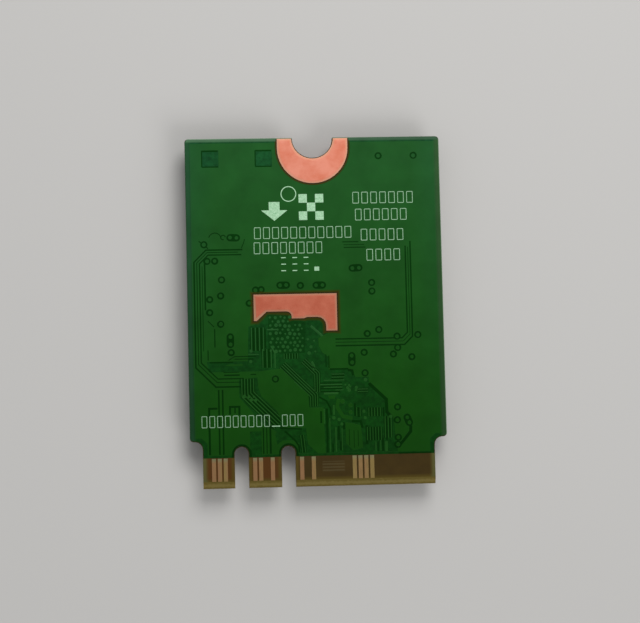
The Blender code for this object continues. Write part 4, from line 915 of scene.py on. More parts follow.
def laminate_finish(tree, place):
    """Glass-epoxy laminate, pressed and routed, with the small soldered parts that the board carries.

    It gives the eye a red-brown face where an inner copper plane lies under it, olive resin near
    the edges and slots, pale cut fibres on the chamfer and the routed sides, and a grainy ceramic on
    the small parts. Under the mask its face is dark with painted shade, which shows in the mask's
    windows and round the slots, and its outer rims carry painted light and shade.
    """
    axes = add_node(tree, "ShaderNodeSeparateXYZ", {0: place})
    side = add_node(tree, "ShaderNodeMath", {0: axes.outputs["X"]}, operation="ABSOLUTE")
    inside = add_node(tree, "ShaderNodeMapRange", {
        0: side.outputs[0], 1: (TONGUE_HALF_WIDTH - 0.2) * MM, 2: (TONGUE_HALF_WIDTH - 0.5) * MM})
    ended = add_node(tree, "ShaderNodeMapRange", {
        0: axes.outputs["Y"], 1: (CHAMFER_Y + 0.05) * MM, 2: (CHAMFER_Y + 0.3) * MM})
    plane = add_node(tree, "ShaderNodeMath", {
        0: inside.outputs[0], 1: ended.outputs[0]}, operation="MULTIPLY")
    for x in KEY_SLOTS:
        away = add_node(tree, "ShaderNodeMath", {0: axes.outputs["X"], 1: x * MM}, operation="SUBTRACT")
        apart = add_node(tree, "ShaderNodeMath", {0: away.outputs[0]}, operation="ABSOLUTE")
        clear = add_node(tree, "ShaderNodeMapRange", {
            0: apart.outputs[0], 1: (KEY_SLOT_RADIUS + 0.15) * MM, 2: (KEY_SLOT_RADIUS + 0.4) * MM})
        plane = add_node(tree, "ShaderNodeMath", {
            0: plane.outputs[0], 1: clear.outputs[0]}, operation="MULTIPLY")
    cloudy = add_node(tree, "ShaderNodeTexNoise", {
        "Vector": place, "Scale": per_metre(1.2 * MM), "Detail": 3.0, "Roughness": 0.6})
    resin = add_node(tree, "ShaderNodeMix", {
        0: inside.outputs[0], 6: from_hex("#52502A"), 7: from_hex("#4E4013")}, data_type="RGBA")
    brown = add_node(tree, "ShaderNodeMix", {
        0: cloudy.outputs["Fac"], 6: from_hex("#34270B"), 7: from_hex("#443411")}, data_type="RGBA")
    red = add_node(tree, "ShaderNodeMapRange", {0: axes.outputs["X"], 1: -2.0 * MM, 2: -4.0 * MM, 4: 0.8})
    covered = add_node(tree, "ShaderNodeMix", {
        0: red.outputs[0], 6: brown.outputs[2], 7: from_hex("#52300E")}, data_type="RGBA")
    covered_face = add_node(tree, "ShaderNodeMix", {
        0: plane.outputs[0], 6: resin.outputs[2], 7: covered.outputs[2]}, data_type="RGBA")

    # Tracks of an inner layer, which show faintly through the face
    inner = add_node(tree, "ShaderNodeTexWave", {
        "Vector": place, "Scale": wave_scale(0.26 * MM), "Distortion": 0.3, "Detail": 0.0,
    }, bands_direction="Y")
    shown = inside_box(tree, axes, (1.2 * MM, -13.35 * MM), (1.0 * MM, 0.5 * MM))
    lines = add_node(tree, "ShaderNodeMath", {0: inner.outputs["Fac"], 1: shown}, operation="MULTIPLY")
    faint = add_node(tree, "ShaderNodeMath", {0: lines.outputs[0], 1: 0.4}, operation="MULTIPLY")
    tracked = add_node(tree, "ShaderNodeMix", {
        0: faint.outputs[0], 6: covered_face.outputs[2], 7: from_hex("#5A5236")}, data_type="RGBA")

    # Under the mask: the face dark with painted shade, which shows in the mask's windows and round the slots
    masked = add_node(tree, "ShaderNodeMapRange", {
        0: axes.outputs["Y"], 1: (MASK_END - 0.02) * MM, 2: (MASK_END + 0.02) * MM})
    shaded_under_mask = add_node(tree, "ShaderNodeMix", {
        0: masked.outputs[0], 6: tracked.outputs[2], 7: from_hex("#33280C")}, data_type="RGBA")
    # Painted light and shade on the outer rims: pale on the right side and at the top's left end, dark on
    # the left side
    face = edge_strips(
        tree, axes, shaded_under_mask.outputs[2],
        (CARD_HALF_WIDTH - 0.1, CARD_HALF_WIDTH - 0.05, 1.0, "#2C4830", "#587454"),
        (CARD_TOP - 0.1, CARD_TOP - 0.05, 1.0, "#7A977C", "#4A644C"))

    # Cut surfaces: where the face doesn't look straight up or down
    facing = add_node(tree, "ShaderNodeSeparateXYZ", {
        0: add_node(tree, "ShaderNodeNewGeometry").outputs["Normal"]})
    level = add_node(tree, "ShaderNodeMath", {0: facing.outputs["Z"]}, operation="ABSOLUTE")
    cut = add_node(tree, "ShaderNodeMapRange", {0: level.outputs[0], 1: 0.985, 2: 0.95})
    plies = add_node(tree, "ShaderNodeTexWave", {
        "Vector": place, "Scale": wave_scale(0.18 * MM), "Distortion": 2.5, "Detail": 2.0,
        "Detail Scale": 3.0}, bands_direction="Z")
    fibres = add_node(tree, "ShaderNodeMix", {
        0: plies.outputs["Fac"], 6: from_hex("#5F5222"), 7: from_hex("#746636")}, data_type="RGBA")
    board = add_node(tree, "ShaderNodeMix", {
        0: cut.outputs[0], 6: face, 7: fibres.outputs[2]}, data_type="RGBA")

    # The small parts stand proud of the front
    proud = add_node(tree, "ShaderNodeMapRange", {
        0: axes.outputs["Z"], 1: front_low - 0.002 * MM, 2: front_low - 0.006 * MM})
    grain = add_node(tree, "ShaderNodeTexNoise", {
        "Vector": place, "Scale": per_metre(0.1 * MM), "Detail": 2.0})
    sintered = add_node(tree, "ShaderNodeMix", {
        0: grain.outputs["Fac"], 6: from_hex("#6B5743"), 7: from_hex("#9A8268")}, data_type="RGBA")
    colour = add_node(tree, "ShaderNodeMix", {
        0: proud.outputs[0], 6: board.outputs[2], 7: sintered.outputs[2]}, data_type="RGBA")
    rough = add_node(tree, "ShaderNodeMapRange", {0: cut.outputs[0], 3: 0.42, 4: 0.75})
    cloth = add_node(tree, "ShaderNodeBump", {
        "Strength": 0.5, "Distance": 0.006 * MM, "Height": weave_height(tree, place)})
    return {
        "Base Color": colour.outputs[2], "Roughness": rough.outputs[0], "Normal": cloth.outputs[0],
        "IOR": 1.55, "Specular IOR Level": 0.1,
    }


def hard_gold_finish(tree, place):
    """Hard gold over nickel, plated on copper and rubbed by its socket.

    It gives the eye a tan metal with soft wipe marks along each contact, yellower on some
    contacts and redder on others, and greenish at its root beside the mask.
    """
    drawn = add_node(tree, "ShaderNodeMapping", {"Vector": place, "Scale": (1.0, 0.04, 1.0)})
    wipes = add_node(tree, "ShaderNodeTexNoise", {
        "Vector": drawn.outputs[0], "Scale": per_metre(0.03 * MM), "Detail": 3.0, "Roughness": 0.6})
    stretched = add_node(tree, "ShaderNodeMapping", {"Vector": place, "Scale": (1.0, 0.05, 1.0)})
    batches = add_node(tree, "ShaderNodeTexNoise", {
        "Vector": stretched.outputs[0], "Scale": per_metre(0.9 * MM), "Detail": 1.0})
    axes = add_node(tree, "ShaderNodeSeparateXYZ", {0: place})
    share = add_node(tree, "ShaderNodeMapRange", {0: batches.outputs["Fac"], 1: 0.38, 2: 0.6})
    tint = add_node(tree, "ShaderNodeMix", {
        0: share.outputs[0], 6: from_hex("#A38B55"), 7: from_hex("#AA815A")}, data_type="RGBA")
    root = add_node(tree, "ShaderNodeMapRange", {
        0: axes.outputs["Y"], 1: (MASK_END - 0.45) * MM, 2: (MASK_END - 0.1) * MM})
    rooted = add_node(tree, "ShaderNodeMix", {
        0: root.outputs[0], 6: tint.outputs[2], 7: from_hex("#93906A")}, data_type="RGBA")
    rough = add_node(tree, "ShaderNodeMapRange", {0: wipes.outputs["Fac"], 1: 0.3, 2: 0.7, 3: 0.28, 4: 0.48})
    scratched = add_node(tree, "ShaderNodeBump", {
        "Strength": 0.3, "Distance": 0.002 * MM, "Height": wipes.outputs["Fac"]})
    return {
        "Base Color": rooted.outputs[2], "Roughness": rough.outputs[0], "Metallic": 1.0,
        "Normal": scratched.outputs[0],
    }


def etched_copper_finish(tree, place, dark, light, rim):
    """Micro-etched copper under a clear organic preservative.

    It gives the eye a matt salmon metal with cloudy drying marks and a fine grain, and a
    painted highlight along its etched edge.
    """
    clouds = add_node(tree, "ShaderNodeTexNoise", {
        "Vector": place, "Scale": per_metre(1.4 * MM), "Detail": 4.0, "Roughness": 0.6})
    spread_out = add_node(tree, "ShaderNodeMapRange", {0: clouds.outputs["Fac"], 1: 0.35, 2: 0.65})
    tint = add_node(tree, "ShaderNodeMix", {
        0: spread_out.outputs[0], 6: from_hex(dark), 7: from_hex(light)}, data_type="RGBA")
    # A painted highlight along the etched edge
    edge = add_node(tree, "ShaderNodeAttribute", attribute_name="rim")
    edge_highlit = add_node(tree, "ShaderNodeMix", {
        0: edge.outputs["Fac"], 6: tint.outputs[2], 7: from_hex(rim)}, data_type="RGBA")
    etch = add_node(tree, "ShaderNodeTexNoise", {
        "Vector": place, "Scale": per_metre(0.05 * MM), "Detail": 2.0})
    rough = add_node(tree, "ShaderNodeMapRange", {0: etch.outputs["Fac"], 1: 0.3, 2: 0.7, 3: 0.45, 4: 0.6})
    grainy = add_node(tree, "ShaderNodeBump", {
        "Strength": 0.4, "Distance": 0.003 * MM, "Height": etch.outputs["Fac"]})
    return {
        "Base Color": edge_highlit.outputs[2], "Roughness": rough.outputs[0], "Metallic": 0.75,
        "Normal": grainy.outputs[0],
    }


def nickel_silver_finish(tree, place):
    """Rolled nickel-silver sheet, blanked and folded.

    It gives the eye a warm grey metal with long rolling lines along X and dull spots of handling.
    """
    rolled = add_node(tree, "ShaderNodeMapping", {"Vector": place, "Scale": (0.03, 1.0, 1.0)})
    lines = add_node(tree, "ShaderNodeTexNoise", {
        "Vector": rolled.outputs[0], "Scale": per_metre(0.06 * MM), "Detail": 4.0, "Roughness": 0.6})
    spots = add_node(tree, "ShaderNodeTexNoise", {
        "Vector": place, "Scale": per_metre(2.0 * MM), "Detail": 3.0, "Roughness": 0.6})
    tint = add_node(tree, "ShaderNodeMix", {
        0: spots.outputs["Fac"], 6: from_hex("#A8A69E"), 7: from_hex("#C9C7BF")}, data_type="RGBA")
    blend = add_node(tree, "ShaderNodeMix", {
        0: 0.5, 2: lines.outputs["Fac"], 3: spots.outputs["Fac"]}, data_type="FLOAT")
    rough = add_node(tree, "ShaderNodeMapRange", {0: blend.outputs[0], 1: 0.3, 2: 0.7, 3: 0.26, 4: 0.44})
    brushed = add_node(tree, "ShaderNodeBump", {
        "Strength": 0.25, "Distance": 0.003 * MM, "Height": lines.outputs["Fac"]})
    return {
        "Base Color": tint.outputs[2], "Roughness": rough.outputs[0], "Metallic": 1.0,
        "Normal": brushed.outputs[0],
    }


def moulding_compound_finish(tree, place):
    """Silica-filled epoxy, transfer moulded.

    It gives the eye a matt charcoal with the fine sparkle of its filler.
    """
    filler = add_node(tree, "ShaderNodeTexNoise", {
        "Vector": place, "Scale": per_metre(0.04 * MM), "Detail": 2.0})
    tint = add_node(tree, "ShaderNodeMix", {
        0: filler.outputs["Fac"], 6: from_hex("#1A1A1C"), 7: from_hex("#2C2C2E")}, data_type="RGBA")
    grainy = add_node(tree, "ShaderNodeBump", {
        "Strength": 0.4, "Distance": 0.004 * MM, "Height": filler.outputs["Fac"]})
    return {"Base Color": tint.outputs[2], "Roughness": 0.58, "Normal": grainy.outputs[0]}


def sintered_finish(tree, place, node, dark, light):
    """Sintered body of a chip part, dipped in tin at both ends.

    It gives the eye a dull grainy block between two brighter grey caps.
    """
    low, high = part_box(node)
    size = high - low
    axis = "X" if size.x > size.y else "Y"
    middle, reach = (low + high) / 2, max(size.x, size.y) / 2
    centred = add_node(tree, "ShaderNodeMapping", {"Vector": place, "Location": tuple(-middle)})
    axes = add_node(tree, "ShaderNodeSeparateXYZ", {0: centred.outputs[0]})
    along = add_node(tree, "ShaderNodeMath", {0: axes.outputs[axis]}, operation="ABSOLUTE")
    cap = add_node(tree, "ShaderNodeMapRange", {0: along.outputs[0], 1: 0.49 * reach, 2: 0.51 * reach})
    grain = add_node(tree, "ShaderNodeTexNoise", {
        "Vector": place, "Scale": per_metre(0.08 * MM), "Detail": 3.0})
    body = add_node(tree, "ShaderNodeMix", {
        0: grain.outputs["Fac"], 6: from_hex(dark), 7: from_hex(light)}, data_type="RGBA")
    colour = add_node(tree, "ShaderNodeMix", {
        0: cap.outputs[0], 6: body.outputs[2], 7: from_hex("#BDBDB8")}, data_type="RGBA")
    rough = add_node(tree, "ShaderNodeMapRange", {0: cap.outputs[0], 3: 0.68, 4: 0.35})
    grainy = add_node(tree, "ShaderNodeBump", {
        "Strength": 0.3, "Distance": 0.004 * MM, "Height": grain.outputs["Fac"]})
    return {
        "Base Color": colour.outputs[2], "Roughness": rough.outputs[0], "Metallic": cap.outputs[0],
        "Normal": grainy.outputs[0],
    }


def moulded_plastic_finish(tree, place):
    """Glass-filled liquid crystal polymer, injection moulded.

    It gives the eye an ivory base with faint flow lines.
    """
    flow = add_node(tree, "ShaderNodeTexNoise", {
        "Vector": place, "Scale": per_metre(0.3 * MM), "Detail": 3.0, "Distortion": 1.5})
    tint = add_node(tree, "ShaderNodeMix", {
        0: flow.outputs["Fac"], 6: from_hex("#CFC7B0"), 7: from_hex("#E2DBC8")}, data_type="RGBA")
    wavy = add_node(tree, "ShaderNodeBump", {
        "Strength": 0.2, "Distance": 0.003 * MM, "Height": flow.outputs["Fac"]})
    return {"Base Color": tint.outputs[2], "Roughness": 0.48, "Normal": wavy.outputs[0]}


def solder_finish(tree, place):
    """Reflowed tin-silver-copper solder.

    It gives the eye a bright grey bead with a slightly crazed skin.
    """
    skin = add_node(tree, "ShaderNodeTexVoronoi", {"Vector": place, "Scale": per_metre(0.12 * MM)})
    rough = add_node(tree, "ShaderNodeMapRange", {
        0: skin.outputs["Distance"], 1: 0.0, 2: 0.8, 3: 0.22, 4: 0.4})
    crazed = add_node(tree, "ShaderNodeBump", {
        "Strength": 0.3, "Distance": 0.005 * MM, "Height": skin.outputs["Distance"]})
    return {
        "Base Color": from_hex("#C4C5C6"), "Roughness": rough.outputs[0], "Metallic": 1.0,
        "Normal": crazed.outputs[0],
    }


def legend_ink_finish(tree, place, coverage):
    """White epoxy ink, screen printed.

    It gives the eye a mint white, because the green shows through where the film is thin.
    """
    legend = bpy.context.scene.card_legend
    film = add_node(tree, "ShaderNodeTexNoise", {
        "Vector": place, "Scale": per_metre(0.15 * MM), "Detail": 3.0, "Roughness": 0.6})
    cover = add_node(tree, "ShaderNodeMapRange", {0: film.outputs["Fac"], 1: 0.3, 2: 0.65})
    tint = add_node(tree, "ShaderNodeMix", {
        0: cover.outputs[0], 6: legend.thin_ink, 7: legend.full_ink}, data_type="RGBA")
    axes = add_node(tree, "ShaderNodeSeparateXYZ", {0: place})
    # Darker towards the bottom of the card
    darker_towards_bottom = add_node(tree, "ShaderNodeMapRange", {
        0: axes.outputs["Y"], 1: -10.0 * MM, 2: 6.0 * MM, 3: 0.75 * coverage, 4: coverage})
    printed = add_node(tree, "ShaderNodeVectorMath", {
        0: tint.outputs[2], "Scale": darker_towards_bottom.outputs[0]}, operation="SCALE")
    grainy = add_node(tree, "ShaderNodeBump", {
        "Strength": 0.4, "Distance": 0.003 * MM, "Height": film.outputs["Fac"]})
    return {"Base Color": printed.outputs[0], "Roughness": 0.6, "Normal": grainy.outputs[0]}


def pale_board_finish(tree, place):
    """Matt laminated board, a plain pale ground for the card."""
    return {
        "Base Color": bpy.context.scene.card_stage.floor_colour, "Roughness": 0.9,
        "Specular IOR Level": 0.2,
    }


def mask_surface():
    mask = bpy.context.scene.card_mask
    return surface("photoimageable_epoxy_solder_mask", solder_mask_finish, mask.over_copper)


def track_mask_surface():
    mask = bpy.context.scene.card_mask
    return surface("photoimageable_epoxy_mask_on_tracks", solder_mask_finish, mask.over_tracks)


# Settings

class CardMaskSettings(bpy.types.PropertyGroup):
    relief: FloatProperty(
        name="Relief", description="How far the mask stands higher over copper than over laminate",
        default=0.014 * MM, min=0.0, precision=6, unit="LENGTH")
    wall_slope: FloatProperty(
        name="Wall slope", description="How wide the sloping wall at an edge of copper is, in plan",
        default=0.022 * MM, min=0.0, precision=6, unit="LENGTH")
    track_widening: FloatProperty(
        name="Track widening", description="Factor on the width of the tracks in the bare areas",
        default=1.0, min=0.1, max=3.0)
    via_radius: FloatProperty(
        name="Via land radius", description="Radius of the round land at each via",
        default=0.17 * MM, min=0.0, precision=6, unit="LENGTH")
    clearing: FloatProperty(
        name="Via clearing", description="Radius of the gap in the copper pour round a via",
        default=0.33 * MM, min=0.0, precision=6, unit="LENGTH")
    over_copper: FloatVectorProperty(
        name="Over copper", description="Colour of the mask where copper lies under it",
        subtype="COLOR", size=4, min=0.0, max=1.0, default=from_hex("#164A14"))
    over_tracks: FloatVectorProperty(
        name="Over tracks", description="Colour of the thinner mask on narrow tracks and via lands",
        subtype="COLOR", size=4, min=0.0, max=1.0, default=from_hex("#205324"))
    over_laminate: FloatVectorProperty(
        name="Over laminate", description="Colour of the mask where no copper lies under it",
        subtype="COLOR", size=4, min=0.0, max=1.0, default=from_hex("#0D4014"))
    # Painted shade: the colour of the mask in narrow gaps, beds of tracks and slot rims
    shaded_gaps: FloatVectorProperty(
        name="In narrow gaps", description="Colour of the mask where it pools between edges of copper",
        subtype="COLOR", size=4, min=0.0, max=1.0, default=from_hex("#022F03"))


class CardLegendSettings(bpy.types.PropertyGroup):
    stroke: FloatProperty(
        name="Stroke", description="Width of the printed lines",
        default=0.09 * MM, min=0.0, precision=6, unit="LENGTH")
    tick_share: FloatProperty(
        name="Tick share", description="Width of the tick boxes' lines, as a share of the stroke",
        default=0.78, min=0.1, max=1.0)
    tick_coverage: FloatProperty(
        name="Tick coverage", description="How well the ink of the tick boxes covers the mask",
        default=0.72, min=0.1, max=1.0)
    thickness: FloatProperty(
        name="Ink thickness", description="Height of the ink above the mask",
        default=0.008 * MM, min=0.0, precision=6, unit="LENGTH")
    full_ink: FloatVectorProperty(
        name="Full ink", description="Colour where the ink is thick",
        subtype="COLOR", size=4, min=0.0, max=1.0, default=from_hex("#BAE3BC"))
    thin_ink: FloatVectorProperty(
        name="Thin ink", description="Colour where the mask shows through",
        subtype="COLOR", size=4, min=0.0, max=1.0, default=from_hex("#8AC190"))


class CardSolderSettings(bpy.types.PropertyGroup):
    fillet: FloatProperty(
        name="Fillet", description="Height and reach of the solder at the foot of the shield frame",
        default=0.16 * MM, min=0.0, precision=6, unit="LENGTH")


class CardStageSettings(bpy.types.PropertyGroup):
    distance: FloatProperty(
        name="Camera distance", description="Distance from the camera to the card",
        default=0.150, min=0.01, unit="LENGTH")
    lens: FloatProperty(
        name="Lens", description="Focal length of the camera on a 36 mm sensor, in millimetres",
        default=98.3, min=1.0)
    sky: FloatProperty(
        name="Sky", description="Strength of the even light from all round", default=0.42, min=0.0)
    floor_colour: FloatVectorProperty(
        name="Floor colour", description="Colour of the ground under the card",
        subtype="COLOR", size=4, min=0.0, max=1.0, default=from_hex("#C8C6C3"))


# Operators: one for each piece or group of like pieces, and one for the stage

# Tracks and lands: how deep they are sunk into the mask, and a track's sloping sides and round bends
SUNK_IN_MASK = 0.001 * MM
TRACK_NARROWING = 0.04 * MM
TRACK_BEND_RADIUS = 0.15 * MM
# Lands of cleared and of large vias, as shares of the radius of the others
CLEARED_LAND_SHARE = 1.1
LARGE_LAND_SHARE = 1.35


def cleared_loops(radius):
    return [stadium(places, radius) for places in CLEARED_VIAS]


def keep_out_loops():
    half = KEEP_OUT / 2
    return [rectangle(x - half, y - half, x + half, y + half) for x, y in RECEPTACLES]


def slot_rims():
    """The rims of the key slots, where painted shadow darkens the mask, from beyond the mask's end."""
    beyond = MASK_END - 1.0
    return [stadium([(x, beyond), (x, KEY_SLOT_Y)], KEY_SLOT_RADIUS + SLOT_RIM, 10) for x in KEY_SLOTS]


def rim_shade_loops():
    """Loops a little outside the bare copper of the back, within which painted shade darkens the mask."""
    plates = [rim_loops(node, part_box(node)[1].z)[0] for node in ("heat_patch_back", "screw_land_back")]
    return [spread(loop, RIM_WIDTH) for loop in plates]


class CARD_OT_solder_mask_back(bpy.types.Operator):
    """Make the mask of the back, with the relief of the copper under it"""

    bl_idname = "card.solder_mask_back"
    bl_label = "Solder mask, back"

    def execute(self, context):
        clearing = context.scene.card_mask.clearing / MM
        narrow = cleared_loops(clearing) + [ribbon(line, width) for width, line in GAPS]
        mesh = relief_sheet("mask_back", "solder_mask_back", 1, {
            "copper": [pour_outline()], "island": COPPER_ISLANDS, "gap": BARE_AREAS + keep_out_loops(),
            "narrow": narrow + keep_out_lines(), "band": slot_rims() + track_beds(),
            "field": [CHIP_FIELD], "rim": rim_shade_loops(),
        })
        piece = add_piece("mask_back", mesh, mask_surface())
        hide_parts("solder_mask_back")
        return {"FINISHED"}


class CARD_OT_solder_mask_front(bpy.types.Operator):
    """Make the mask of the front, with its fan-out strip and its antenna feeds"""

    bl_idname = "card.solder_mask_front"
    bl_label = "Solder mask, front"

    def execute(self, context):
        mesh = relief_sheet("mask_front", "solder_mask_front", -1, {
            "copper": [pour_outline()], "gap": front_bare_areas(),
            "narrow": [ribbon(line, FEED_GAP_WIDTH) for line in front_gaps()],
        })
        piece = add_piece("mask_front", mesh, mask_surface())
        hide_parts("solder_mask_front")
        return {"FINISHED"}


class CARD_OT_tracks(bpy.types.Operator):
    """Make the tracks that cross the bare areas, under their skin of mask"""

    bl_idname = "card.tracks"
    bl_label = "Tracks"

    def execute(self, context):
        settings = context.scene.card_mask
        tree = swept_strip_tree()
        back_z = back_high - settings.relief - SUNK_IN_MASK
        front_z = front_low + settings.relief + SUNK_IN_MASK
        groups = []
        for width in sorted({width for _, _, width, _ in BACK_TRACKS}):
            lines = [line for count, pitch, own, path in BACK_TRACKS if own == width
                     for line in parallel(count, pitch, path)]
            groups.append((f"tracks_back_{round(100 * width)}", lines, width, back_z, 1))
        groups.append(("tracks_front", front_tracks(), FRONT_TRACK_WIDTH, front_z, -1))
        for name, paths, width, z, facing in groups:
            foot = width * MM * settings.track_widening
            inputs = {
                "Foot Width": foot, "Crown Width": foot - TRACK_NARROWING, "Height": settings.relief,
                "Bend Radius": TRACK_BEND_RADIUS, "Material": track_mask_surface(),
            }
            mesh = run_tree(name, path_mesh(name, paths, [], z), tree, inputs, facing)
            add_piece(name, mesh, track_mask_surface())
        return {"FINISHED"}


class CARD_OT_via_lands(bpy.types.Operator):
    """Make the land of each via of the back"""

    bl_idname = "card.via_lands"
    bl_label = "Via lands"

    def execute(self, context):
        settings = context.scene.card_mask
        tree = via_land_tree()
        cleared = [place for group in CLEARED_VIAS for place in group]
        z = back_high - settings.relief - SUNK_IN_MASK
        over_pour, over_tracks = mask_surface(), track_mask_surface()
        # Each group: its places, share of the radius, scatter in millimetres, least size and mask
        for name, places, share, scatter, least, material in (
                ("via_lands_cleared", cleared, CLEARED_LAND_SHARE, 0.02, 0.85, over_pour),
                ("via_lands_bare", BARE_VIAS, 1.0, 0.0, 0.85, over_tracks),
                ("via_lands_chip", chip_via_places(), 1.0, 0.07, 0.5, over_tracks),
                ("via_lands_large", LARGE_VIAS, LARGE_LAND_SHARE, 0.0, 0.85, over_pour)):
            radius = share * settings.via_radius
            spots = bpy.data.meshes.new("via_places")
            spots.from_pydata([(x * MM, y * MM, z) for x, y in places], [], [])
            inputs = {
                "Radius": radius, "Height": settings.relief, "Hole Radius": LAND_HOLE_SHARE * radius,
                "Dimple Depth": LAND_DIMPLE_SHARE * settings.relief, "Scatter": scatter * MM,
                "Least Size": least, "Seed": LAND_SEED, "Material": material,
            }
            mesh = run_tree(name, spots, tree, inputs)
            add_piece(name, mesh, material)
        return {"FINISHED"}


# The legend: plain marks, in millimetres

# The ink: how deep it is sunk into the mask, how wide its crown is, and its rounded bends
SUNK_INK = 0.004 * MM
INK_CROWN_SHARE = 0.8
INK_BEND_RADIUS = 0.05 * MM
# How far apart the strokes of a filled shape are, as a share of their width
STROKE_STEP = 0.8
TICK_HEIGHT = 0.95
# Rows of tick boxes: left end, height of the middle, how many, pitch, box width
TICK_ROWS = [
    (3.4, 9.72, 7, 0.78, 0.5), (3.6, 8.25, 6, 0.78, 0.5), (4.05, 6.5, 5, 0.78, 0.5),
    (4.5, 4.75, 4, 0.78, 0.5), (-5.15, 6.77, 11, 0.78, 0.52), (-5.2, 5.47, 8, 0.76, 0.5),
    (-9.95, -9.33, 9, 0.665, 0.42), (-3.1, -9.33, 3, 0.665, 0.42),
]
RING_CENTRE = (-2.15, 10.13)
RING_RADIUS = 0.64
ARROW_TIP = (-3.4, 7.85)
ARROW_WIDTH = 2.2
ARROW_SHAFT_WIDTH = 0.9
ARROW_HEIGHT = 1.6
ARROW_HEAD_SHARE = 0.55
ARROW_OVERHANG = 0.02
# A checker of three by three squares: its lower left corner, and the size of a square
CHECKER_CORNER = (-1.28, 7.85)
CHECKER_SIZE = (0.71, 0.75)
# Three rows of three dashes with a square dot in the lowest, and a lone dash near the contacts
DASH_LEFT, DASH_LOW = -2.9, 3.5
DASH_PITCH = (0.97, 0.56)
DASH_LENGTH = 0.4
DOT_SIDES = (-0.05, DASH_LOW - 0.05, 0.35, DASH_LOW + 0.3)
LONE_DASH = [(-4.0, -9.8), (-3.3, -9.8)]


def side_by_side(left, low, right, high, stroke):
    """Upright strokes that fill a rectangle, each a little over the next."""
    count = max(int(round((right - left) / (STROKE_STEP * stroke))), 1)
    step = (right - left) / count
    return [[(left + (index + 0.5) * step, low), (left + (index + 0.5) * step, high)]
            for index in range(count)]


def tick_boxes():
    return [rectangle(left + index * pitch, middle - TICK_HEIGHT / 2,
                      left + index * pitch + width, middle + TICK_HEIGHT / 2)
            for left, middle, count, pitch, width in TICK_ROWS for index in range(count)]


def dash_grid(stroke):
    """A plain grid of dashes, a square dot beside them and a lone dash."""
    dashes = []
    for column in range(3):
        for row in range(3):
            left, height = DASH_LEFT + column * DASH_PITCH[0], DASH_LOW + row * DASH_PITCH[1]
            dashes.append([(left, height), (left + DASH_LENGTH, height)])
    dashes.append(LONE_DASH)
    return dashes + side_by_side(*DOT_SIDES, stroke)


def arrow_fills(stroke):
    """The arrow that points the way into the socket, filled by upright strokes."""
    x, tip = ARROW_TIP
    top, half, shaft = tip + ARROW_HEIGHT, ARROW_WIDTH / 2, ARROW_SHAFT_WIDTH / 2
    head_top = tip + ARROW_HEAD_SHARE * ARROW_HEIGHT
    fills = []
    for line in side_by_side(x - half, tip, x + half, top, stroke):
        place = line[0][0]
        away = abs(place - x)
        low = tip + away / half * (head_top - tip)
        fills.append([(place, low - ARROW_OVERHANG), (place, top if away < shaft else head_top)])
    return fills


def checker_fills(stroke):
    """A checker block, each square filled by side by side strokes."""
    fills = []
    width, height = CHECKER_SIZE
    for column in range(3):
        for row in range(3):
            if (column + row) % 2 == 0:
                x = CHECKER_CORNER[0] + column * width
                y = CHECKER_CORNER[1] + row * height
                fills += side_by_side(x, y, x + width, y + height, stroke)
    return fills


class CARD_OT_legend(bpy.types.Operator):
    """Print the plain white legend"""

    bl_idname = "card.legend"
    bl_label = "Legend"

    def execute(self, context):
        settings = context.scene.card_legend
        tree = swept_strip_tree()
        stroke = settings.stroke
        marks = [line for shape in (dash_grid, arrow_fills, checker_fills) for line in shape(stroke / MM)]
        ring = arc(RING_CENTRE, RING_RADIUS, 0, 345, 23)
        for name, lines, loops, width, coverage in (
                ("legend_marks", marks, [ring], stroke, 1.0),
                ("legend_ticks", [], tick_boxes(), settings.tick_share * stroke, settings.tick_coverage)):
            ink = surface("screened_epoxy_ink_" + name, legend_ink_finish, coverage)
            inputs = {
                "Foot Width": width, "Crown Width": INK_CROWN_SHARE * width,
                "Height": settings.thickness + SUNK_INK, "Bend Radius": INK_BEND_RADIUS, "Material": ink,
            }
            paths = path_mesh(name, lines, loops, back_high - SUNK_INK)
            mesh = run_tree(name, paths, tree, inputs)
            add_piece(name, mesh, ink)
        return {"FINISHED"}


# Bare copper: the node, the side it faces, its slot, and the darkest, lightest and rim colours; the rim
# colour is a painted highlight

COPPER_PLATES = [
    ("screw_land_back", 1, "tinned_land", "#D6795D", "#E29078", "#D39E80"),
    ("heat_patch_back", 1, "bare_copper", "#BC6148", "#CB745A", "#B5866A"),
    ("screw_land_front", -1, "tinned_land", "#D6795D", "#E29078", "#D39E80"),
]


class CARD_OT_copper_plates(bpy.types.Operator):
    """Make the bare copper plates, with the rounded edge that the etch leaves"""

    bl_idname = "card.copper_plates"
    bl_label = "Copper plates"

    def execute(self, context):
        for node, facing, slot, dark, light, rim in COPPER_PLATES:
            copper = surface("preserved_copper_" + node, etched_copper_finish, dark, light, rim)
            name = node + "_plate"
            piece = add_piece(name, rimmed_plate(name, node, facing), copper)
            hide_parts(node)
        return {"FINISHED"}


# Solder, along the shield frame: how far apart its arches are and how wide, and how long a corner is

FOOT_PITCH = 2.9
FOOT_ARCH = 1.2
FRAME_CORNER = 0.5
# How thick a fillet is at its upper edge, as a share of its foot
FILLET_CROWN_SHARE = 0.1


def foot_runs():
    """The stretches of the shield frame's wall that stand on the board, clockwise from outside."""
    low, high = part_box("shield_frame")
    left, bottom, right, top = low.x / MM, low.y / MM, high.x / MM, high.y / MM
    runs = []
    for start, end, place in (
            (bottom, top, lambda t: (left, t)), (left, right, lambda t: (t, top)),
            (top, bottom, lambda t: (right, t)), (right, left, lambda t: (t, bottom))):
        sign = 1 if end > start else -1
        first, last = start + sign * FRAME_CORNER, end - sign * FRAME_CORNER
        count = int(abs(last - first) / FOOT_PITCH)
        step = (last - first) / count
        stops = [first]
        for index in range(count):
            middle = first + step * (index + 0.5)
            stops += [middle - sign * FOOT_ARCH / 2, middle + sign * FOOT_ARCH / 2]
        stops.append(last)
        runs += [[place(a), place(b)] for a, b in zip(stops[::2], stops[1::2])]
    return runs


